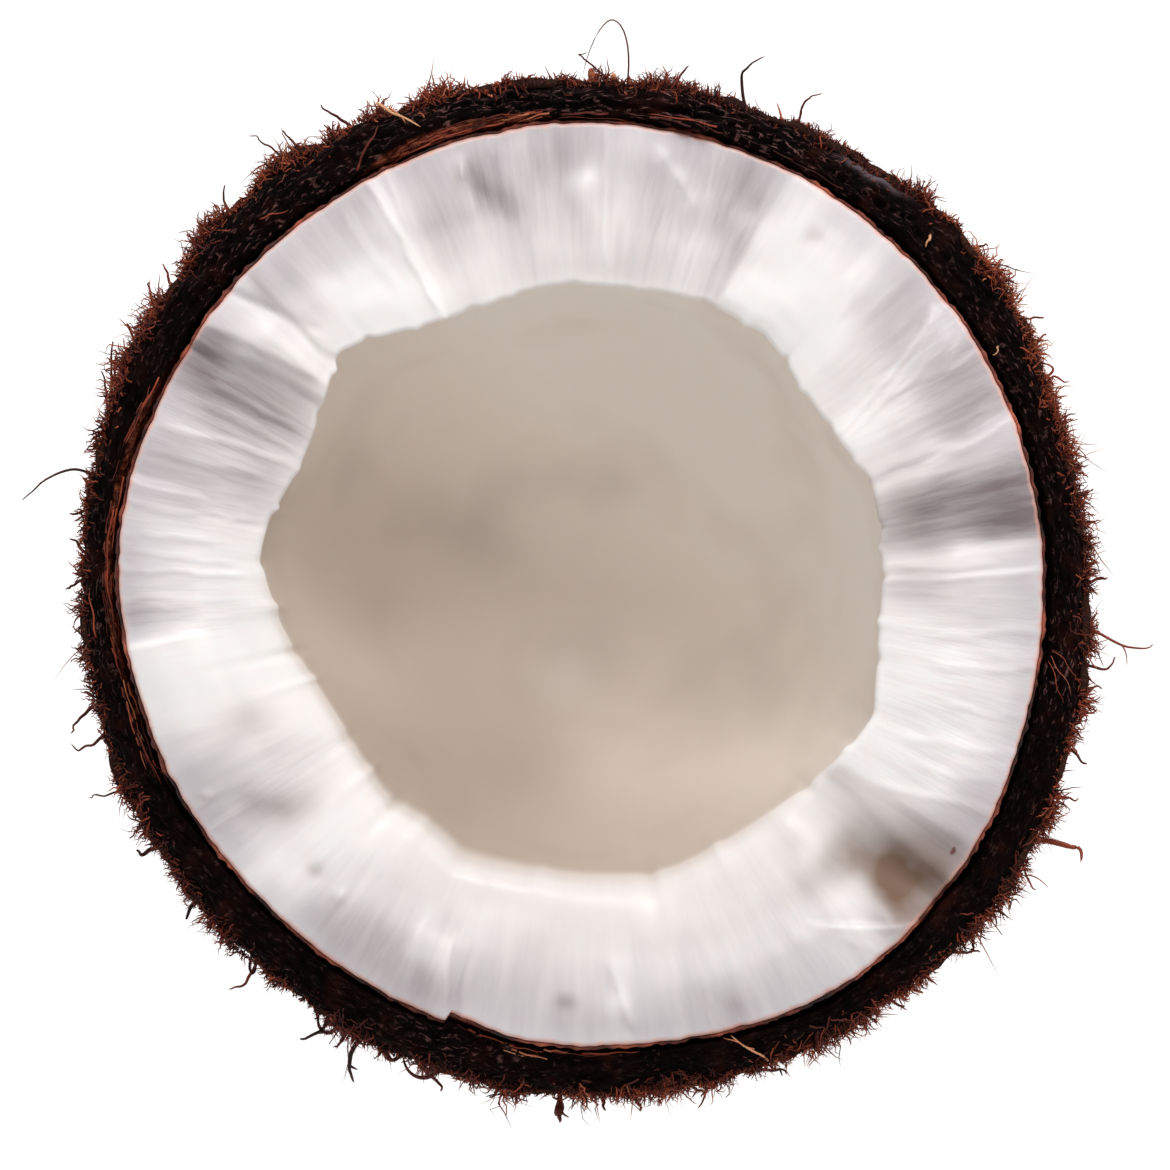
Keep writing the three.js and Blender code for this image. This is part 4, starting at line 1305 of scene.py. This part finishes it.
loose = {
    "points": 18,
    "sides": 6,
    "wobble": 0.3,
    "shoots": 26,  # short side shoots
    "shootLength": (0.7, 2.2),
    "shootLean": 0.8,
    "shootBend": (0.1, 0.4),
    "shootThick": (0.55, 0.3),  # share of the fibre's own thickness, and at most
    "shootFrom": (5, 4),  # points from the fibre's root, and from its tip
    "root": 0.5,  # how deep a fibre starts in the mat
    "bulb": (267.5, 1.7),  # the turn of the fibre that swells, and how much
    "tone": (0.2, 0.1),  # middle and spread
    "waves": (2.5, 5, 9),  # half waves along a fibre
    "radius": 51,  # mm, for turning how far below the edge a root is into degrees
    # Fibres that stand well out: turn, below the mat's edge, thickness, then how far the tip is
    # outwards, anticlockwise and up, and how far the middle bows anticlockwise
    "fibres": [
        (0.5, 3, 0.4, 3, 0.6, 1, -0.5), (17, 4, 0.35, 2.6, 2, 1, 0.4),
        (23.5, 2, 0.3, 3, -0.6, 1.5, 0.5), (32, 3, 0.3, 2.8, -1.6, 1, -0.4),
        (64.5, 2, 0.3, 4.2, -0.4, 2, 1.3), (70.5, 2, 0.35, 5.8, 0.4, 2, 2.4),
        (79, 3, 0.3, 3.2, -0.8, 1, 0.8), (84.5, 2, 0.25, 3.7, 4.4, 3, 3),
        (117, 3, 0.35, 4, 1.8, 1, -0.4), (125, 2, 0.25, 4.4, 1.4, 2, 0),
        (138, 4, 0.3, 2.6, -2.8, 1, -1), (148, 3, 0.35, 2.6, -2.4, 1, -0.6),
        (162, 2, 0.3, 2.4, -7.5, 1, -2), (163.5, 5, 0.3, 3, -6, 2, -2),
        (168, 3, 0.3, 7.2, 3.6, 2, -2.4), (176, 3, 0.4, 2.4, -1.2, 1, 0.6),
        (187, 4, 0.3, 2, -2, 1, 0), (194, 3, 0.4, 4, 2, 1.5, -0.6),
        (196.5, 2, 0.35, 4.2, 0.6, 2, 1.6), (203.5, 3, 0.25, 4.2, -0.6, 1, 0.8),
        (211.5, 3, 0.6, 2.9, -0.6, 1, 0.4), (219.3, 3, 0.5, 3, 0.8, 1, -0.4),
        (224, 4, 0.5, 2.5, 0.6, 0.5, -0.2), (228, 3, 0.4, 4.8, 0.4, 1, 1.8),
        (239, 3, 0.45, 4.5, -0.8, 1, 1), (244.5, 2, 0.55, 5.2, 0.9, 1, -1.5),
        (250, 3, 0.45, 2.8, 4, 1, 0.4), (267.5, 4, 0.55, 4.3, 0, 0.5, -0.1),
        (283, 4, 0.35, 3.6, -0.6, 1, 1.2), (288, 3, 0.4, 2.4, 4.2, 0.5, 0.6),
        (306, 3, 0.4, 2.5, 1, 1, 0.4), (315, 2, 0.4, 2.4, 2, 1, 0), (330, 3, 0.7, 5.8, 0.8, 1, 1.7),
        (336.5, 4, 0.35, 3.5, 0.2, 1, -0.5), (341, 3, 0.4, 3, -0.8, 1, 0.7),
        (351, 3, 0.35, 4, 0.8, 1, -0.5), (355.5, 2, 0.3, 7, -1.4, 2, -1.4),
        (208, 3, 0.3, 2.9, 0.9, 1, 0.3), (242, 3, 0.35, 3.4, -0.4, 1, 0.4),
        (237, 3, 0.4, 1.9, 1.2, 0.5, 0.2), (260.6, 3, 0.35, 2.4, -0.8, 0.5, 0.3),
        (272.3, 3, 0.5, 2.3, 0.2, 0.5, -0.3), (275.5, 3, 0.55, 2.6, 0.5, 0.5, 0.2),
        (281.2, 3, 0.4, 2.5, 1.8, 0.5, 0.5), (297, 3, 0.4, 1.6, -0.6, 0.5, 0.1),
        (303, 3, 0.4, 2.2, 0.7, 0.5, 0.2), (309, 3, 0.4, 2.4, 0.8, 0.5, -0.2),
        (318, 3, 0.4, 2.2, -1.4, 0.5, 0.3), (324, 3, 0.35, 2.4, -1.2, 0.5, 0.2),
        (327.5, 3, 0.3, 3.4, -1.6, 1, 0.2), (344, 3, 0.35, 2.2, -1, 0.5, 0.2),
        (348, 3, 0.35, 2.6, 0.6, 0.5, 0.4), (9, 3, 0.35, 2.2, 1.4, 0.5, 0.2),
        (13, 3, 0.3, 2.2, -0.8, 0.5, 0.2), (27.5, 3, 0.3, 2.4, 0.8, 0.5, 0.3),
        (37, 3, 0.35, 2.4, 0.7, 0.5, 0.4), (41, 3, 0.35, 2.2, -0.9, 0.5, 0.2),
        (122.6, 2, 0.3, 3, 0.7, 1, 0.4), (133, 3, 0.3, 3, -1.2, 1, 0.9),
        (136.5, 3, 0.3, 2.8, 1.6, 1, 0.9), (144, 3, 0.35, 2.8, -1.4, 0.6, 0.3),
        (152, 3, 0.3, 2.4, -1.6, 0.6, -0.3), (160, 2, 0.3, 2.8, -6.5, 1.4, -1.5),
        (171, 3, 0.35, 2.4, 1, 0.6, 0.3), (179, 3, 0.35, 2.6, 1.3, 0.6, 0.2),
        (184, 3, 0.3, 2, 1.2, 0.5, 0.3),
    ],
    # Short orange stubs, set out the same way, with their tone last
    "stubs": [
        (88.9, 2, 1.3, 2.1, 0.1, 0.8, 0, 0.66), (86.2, 2, 1.0, 1.5, 0.4, 0.6, 0, 0.84),
        (84.4, 2, 0.5, 1.5, 0.4, 0.5, 0, 0.74), (0.9, 2, 1.2, 1.1, 0.3, 0.7, 0, 0.68),
        (359.8, 1.5, 0.9, 0.7, -0.5, 0.9, 0, 0.76), (64.0, 2, 0.6, 1.0, 0, 0.5, 0, 0.7),
        (66.6, 2, 0.5, 0.9, 0.2, 0.5, 0, 0.66), (40.6, 2, 0.7, 1.1, 0.2, 0.6, 0, 0.7),
        (99.5, 2, 0.6, 1.0, 0.3, 0.5, 0, 0.6), (21.6, 2, 0.7, 1.0, -0.2, 0.6, 0, 0.66),
        (344.6, 2, 0.7, 1.0, 0.2, 0.5, 0, 0.6), (281.5, 2, 0.6, 1.0, 0.2, 0.5, 0, 0.55),
    ],
    # Fibres that arch over: turn, below, thickness, then three places on their way, each
    # outwards, anticlockwise and up
    "loops": [
        (85, 2, 0.2, (7.8, -0.6, 2), (10.2, 3.4, 3), (0.8, 4.5, 1)),
        (253.4, 3, 0.5, (2.6, 0.2, 0.6), (2.8, -3, 1), (0.6, -3.8, 0)),
        (248.6, 3, 0.45, (2.2, 0.6, 0.4), (2.4, -1.4, 1), (0.4, -2.2, 0)),
        (240.6, 3, 0.5, (2.4, 1, 0.4), (3, -1.6, 1), (0.6, -2, 0)),
        (227.6, 3, 0.3, (3.4, 1.4, 1), (2.6, 2.6, 1), (1.2, 1.2, 0.4)),
        (136, 3, 0.3, (2.4, 1.2, 0.6), (3, -0.6, 1), (1.6, -1.6, 0.4)),
        (24.6, 3, 0.3, (2.2, -1, 0.6), (2.6, 0.6, 1), (0.8, 1.2, 0.2)),
    ],
}


def makeLooseFibres():
    rng = np.random.default_rng(301)
    steps = np.linspace(0, 1, loose["points"])
    topSlope = matEdges()[0]
    paths, thick, tone, bulb = [], [], [], []
    arches = [(*arch[:3], None, *arch[3:]) for arch in loose["loops"]]
    for turn, below, width, out, along, up, bow, *shade in loose["fibres"] + loose["stubs"]:
        arches.append((turn, below, width, shade[0] if shade else None, (0.45 * out, bow, 0.1 * up),
                       (0.8 * out, along + bow, 0.5 * up), (out, along, up)))
    for turn, below, width, shade, *places in arches:
        usual = toneAt(rng, turn, *loose["tone"])
        tone.append(usual if shade is None else shade)
        column = int(turn / 360 * len(turns))
        slope = topSlope[column] + math.degrees(below / loose["radius"])
        root = surfacePoint(np.array([slope]), np.array([turn]), -loose["root"])[0]
        outwards = np.array([math.cos(math.radians(turn)), math.sin(math.radians(turn)), 0])
        onwards = np.array([-outwards[1], outwards[0], 0])
        upwards = np.array([0, 0, 1.0])
        middle1, middle2, tip = (root + out * outwards + along * onwards + up * upwards
                                 for out, along, up in places)
        out = places[-1][0]
        s = steps[:, None]
        path = ((1 - s) ** 3 * root + 3 * s * (1 - s) ** 2 * middle1
                + 3 * s**2 * (1 - s) * middle2 + s**3 * tip)
        for waves in loose["waves"]:
            shift = rng.normal(0, loose["wobble"] * 1.6 / waves, 3) * min(1, out / 3)
            path = path + shift * np.sin(s * waves * math.pi + rng.uniform(0, 6)) * s
        paths.append(path)
        thick.append(width)
        bulb.append(loose["bulb"][1] if turn == loose["bulb"][0] else 0)
    for number in rng.choice(len(paths), loose["shoots"]):
        parent = paths[number]
        fromRoot, fromTip = loose["shootFrom"]
        start = int(rng.integers(fromRoot, loose["points"] - fromTip))
        onwards = parent[start + 1] - parent[start]
        way = onwards / np.linalg.norm(onwards) + rng.normal(0, loose["shootLean"], 3)
        way /= np.linalg.norm(way)
        length = rng.uniform(*loose["shootLength"])
        bend = np.cross(way, rng.standard_normal(3)) * length * rng.uniform(*loose["shootBend"])
        paths.append(parent[start] + way * length * steps[:, None] + bend * steps[:, None] ** 2)
        share, most = loose["shootThick"]
        thick.append(min(thick[number] * share, most))
        tone.append(tone[number])
        bulb.append(0)
    addFibres("looseFibres", np.array(paths), np.array(thick), np.array(tone),
              loose["sides"], np.array(bulb))


makeLooseFibres()
print("loose fibres are made")

rimThreads = {
    "points": 12,
    "sides": 5,
    # Fibres that lie across the broken rim: turn and mm from the axis at each end,
    # thickness, tone
    "strays": [
        (113.3, 52.4, 109.6, 48.6, 0.32, 0.95), (112.0, 51.8, 110.9, 49.2, 0.2, 0.8),
        (291.4, 51.2, 288.0, 47.2, 0.24, 0.9), (290.4, 49.6, 287.2, 47.2, 0.16, 0.75),
        (351.4, 47.2, 347.2, 50.2, 0.1, 0.62), (352.2, 47.4, 349.2, 50.5, 0.08, 0.55),
        (350.6, 47.2, 346.0, 49.4, 0.08, 0.55), (118.6, 47.2, 113.8, 50.4, 0.26, 0.3),
        (45.2, 49.3, 44.6, 48.2, 0.3, 0.95), (29.8, 48.0, 29.2, 47.0, 0.2, 0.9),
        (131.5, 48.8, 128.2, 47.6, 0.18, 0.45), (186, 48.9, 180.5, 49.4, 0.18, 0.5),
    ],
    # Threads of inner shell that lie along it: turn, degrees wide, how many
    "places": [(104, 12, 30), (176, 20, 36), (262, 8, 8), (72, 12, 8), (196, 6, 8)],
    "length": (2, 8),
    "away": (0.05, 1.3),  # from the rim's inner edge
    "thick": (0.08, 0.24),
    "tone": (0.38, 0.22),
    "radius": 47,  # mm, for turning lengths into degrees
    "crowded": 0.55,  # how closely threads keep to their places
    "drift": 0.25,  # mm in or out along a thread
    "lift": 0.06,  # mm above the rim
}


def makeRimThreads():
    rng = np.random.default_rng(401)
    steps = np.linspace(0, 1, rimThreads["points"])
    paths, thick, tone = [], [], []
    for turn0, away0, turn1, away1, width, shade in rimThreads["strays"]:
        turn = turn0 + (turn1 - turn0) * steps + 0.15 * np.sin(steps * 7 + rng.uniform(0, 6))
        away = away0 + (away1 - away0) * steps + 0.12 * np.sin(steps * 9 + rng.uniform(0, 6))
        paths.append(rimPoint(turn, away, 0.25 + 0.5 * np.sin(math.pi * steps)))
        thick.append(width)
        tone.append(shade)
    for at, wide, count in rimThreads["places"]:
        for _ in range(count):
            start = rng.normal(at, wide * rimThreads["crowded"])
            reach = math.degrees(rng.uniform(*rimThreads["length"]) / rimThreads["radius"])
            turn = start + reach * steps
            column = (turn % 360 / 360 * len(turns)).astype(int)
            away = rng.uniform(*rimThreads["away"]) + rng.normal(0, rimThreads["drift"]) * steps
            away = away + 0.06 * np.sin(steps * 12 + rng.uniform(0, 6))
            path = rimPoint(turn, rimInner[column] + np.maximum(away, 0.02), 0)
            evened = np.convolve(np.pad(path[:, 2], 2, "edge"), np.ones(5) / 5, "valid")
            path[:, 2] = evened + rimThreads["lift"]
            paths.append(path)
            thick.append(rng.uniform(*rimThreads["thick"]))
            tone.append(np.clip(rng.normal(*rimThreads["tone"]), 0.1, 1))
    addFibres("rimThreads", np.array(paths), np.array(thick), np.array(tone),
              rimThreads["sides"])


makeRimThreads()
print("threads on the rim are made")

# Floor, light and camera

stage = {
    "floorSize": 3.0,
    "floorColour": (0.3, 0.3, 0.3),
    "floorGlow": 0.92,
    "skyStrength": 0.63,
    "keyPlace": (0.14, 0.66, 0.56),
    "keySize": 0.3,
    "keyPower": 4.2,
    "cameraHeight": 0.6,  # above the crack
    "frameWidth": 117.0,  # mm across the picture at the crack
    "sensor": 36.0,
    "aside": 0.2,  # mm from the nut's axis to the picture's middle
}


def makeFloor():
    size = stage["floorSize"] / 2
    mesh = bpy.data.meshes.new("floor")
    mesh.from_pydata([(-size, -size, 0), (size, -size, 0), (size, size, 0), (-size, size, 0)],
                     [], [(0, 1, 2, 3)])
    material = newMaterial("paleFloor", {
        "Base Color": (*stage["floorColour"], 1), "Roughness": 0.9, "Specular IOR Level": 0.1,
        "Emission Color": (1, 1, 1, 1), "Emission Strength": stage["floorGlow"],
    })[0]
    mesh.materials.append(material)
    floor = bpy.data.objects.new("floor", mesh)
    bpy.context.scene.collection.objects.link(floor)


def makeLight():
    world = bpy.data.worlds.new("softSky")
    world.use_nodes = True
    world.node_tree.nodes["Background"].inputs["Color"].default_value = (1, 1, 1, 1)
    world.node_tree.nodes["Background"].inputs["Strength"].default_value = stage["skyStrength"]
    bpy.context.scene.world = world
    lamp = bpy.data.lights.new("key", "AREA")
    lamp.size = stage["keySize"]
    lamp.energy = stage["keyPower"]
    key = bpy.data.objects.new("key", lamp)
    key.location = stage["keyPlace"]
    aim = Vector((0, 0, middleHeight * mm)) - key.location
    key.rotation_euler = aim.to_track_quat("-Z", "Y").to_euler()
    bpy.context.scene.collection.objects.link(key)


def makeCamera():
    lens = bpy.data.cameras.new("above")
    lens.sensor_width = stage["sensor"]
    lens.lens = stage["sensor"] * stage["cameraHeight"] / (stage["frameWidth"] * mm)
    camera = bpy.data.objects.new("above", lens)
    camera.location = (stage["aside"] * mm, 0, middleHeight * mm + stage["cameraHeight"])
    bpy.context.scene.collection.objects.link(camera)
    bpy.context.scene.camera = camera
    bpy.context.scene.view_settings.view_transform = "Standard"


makeFloor()
makeLight()
makeCamera()
print("floor, light and camera are made")
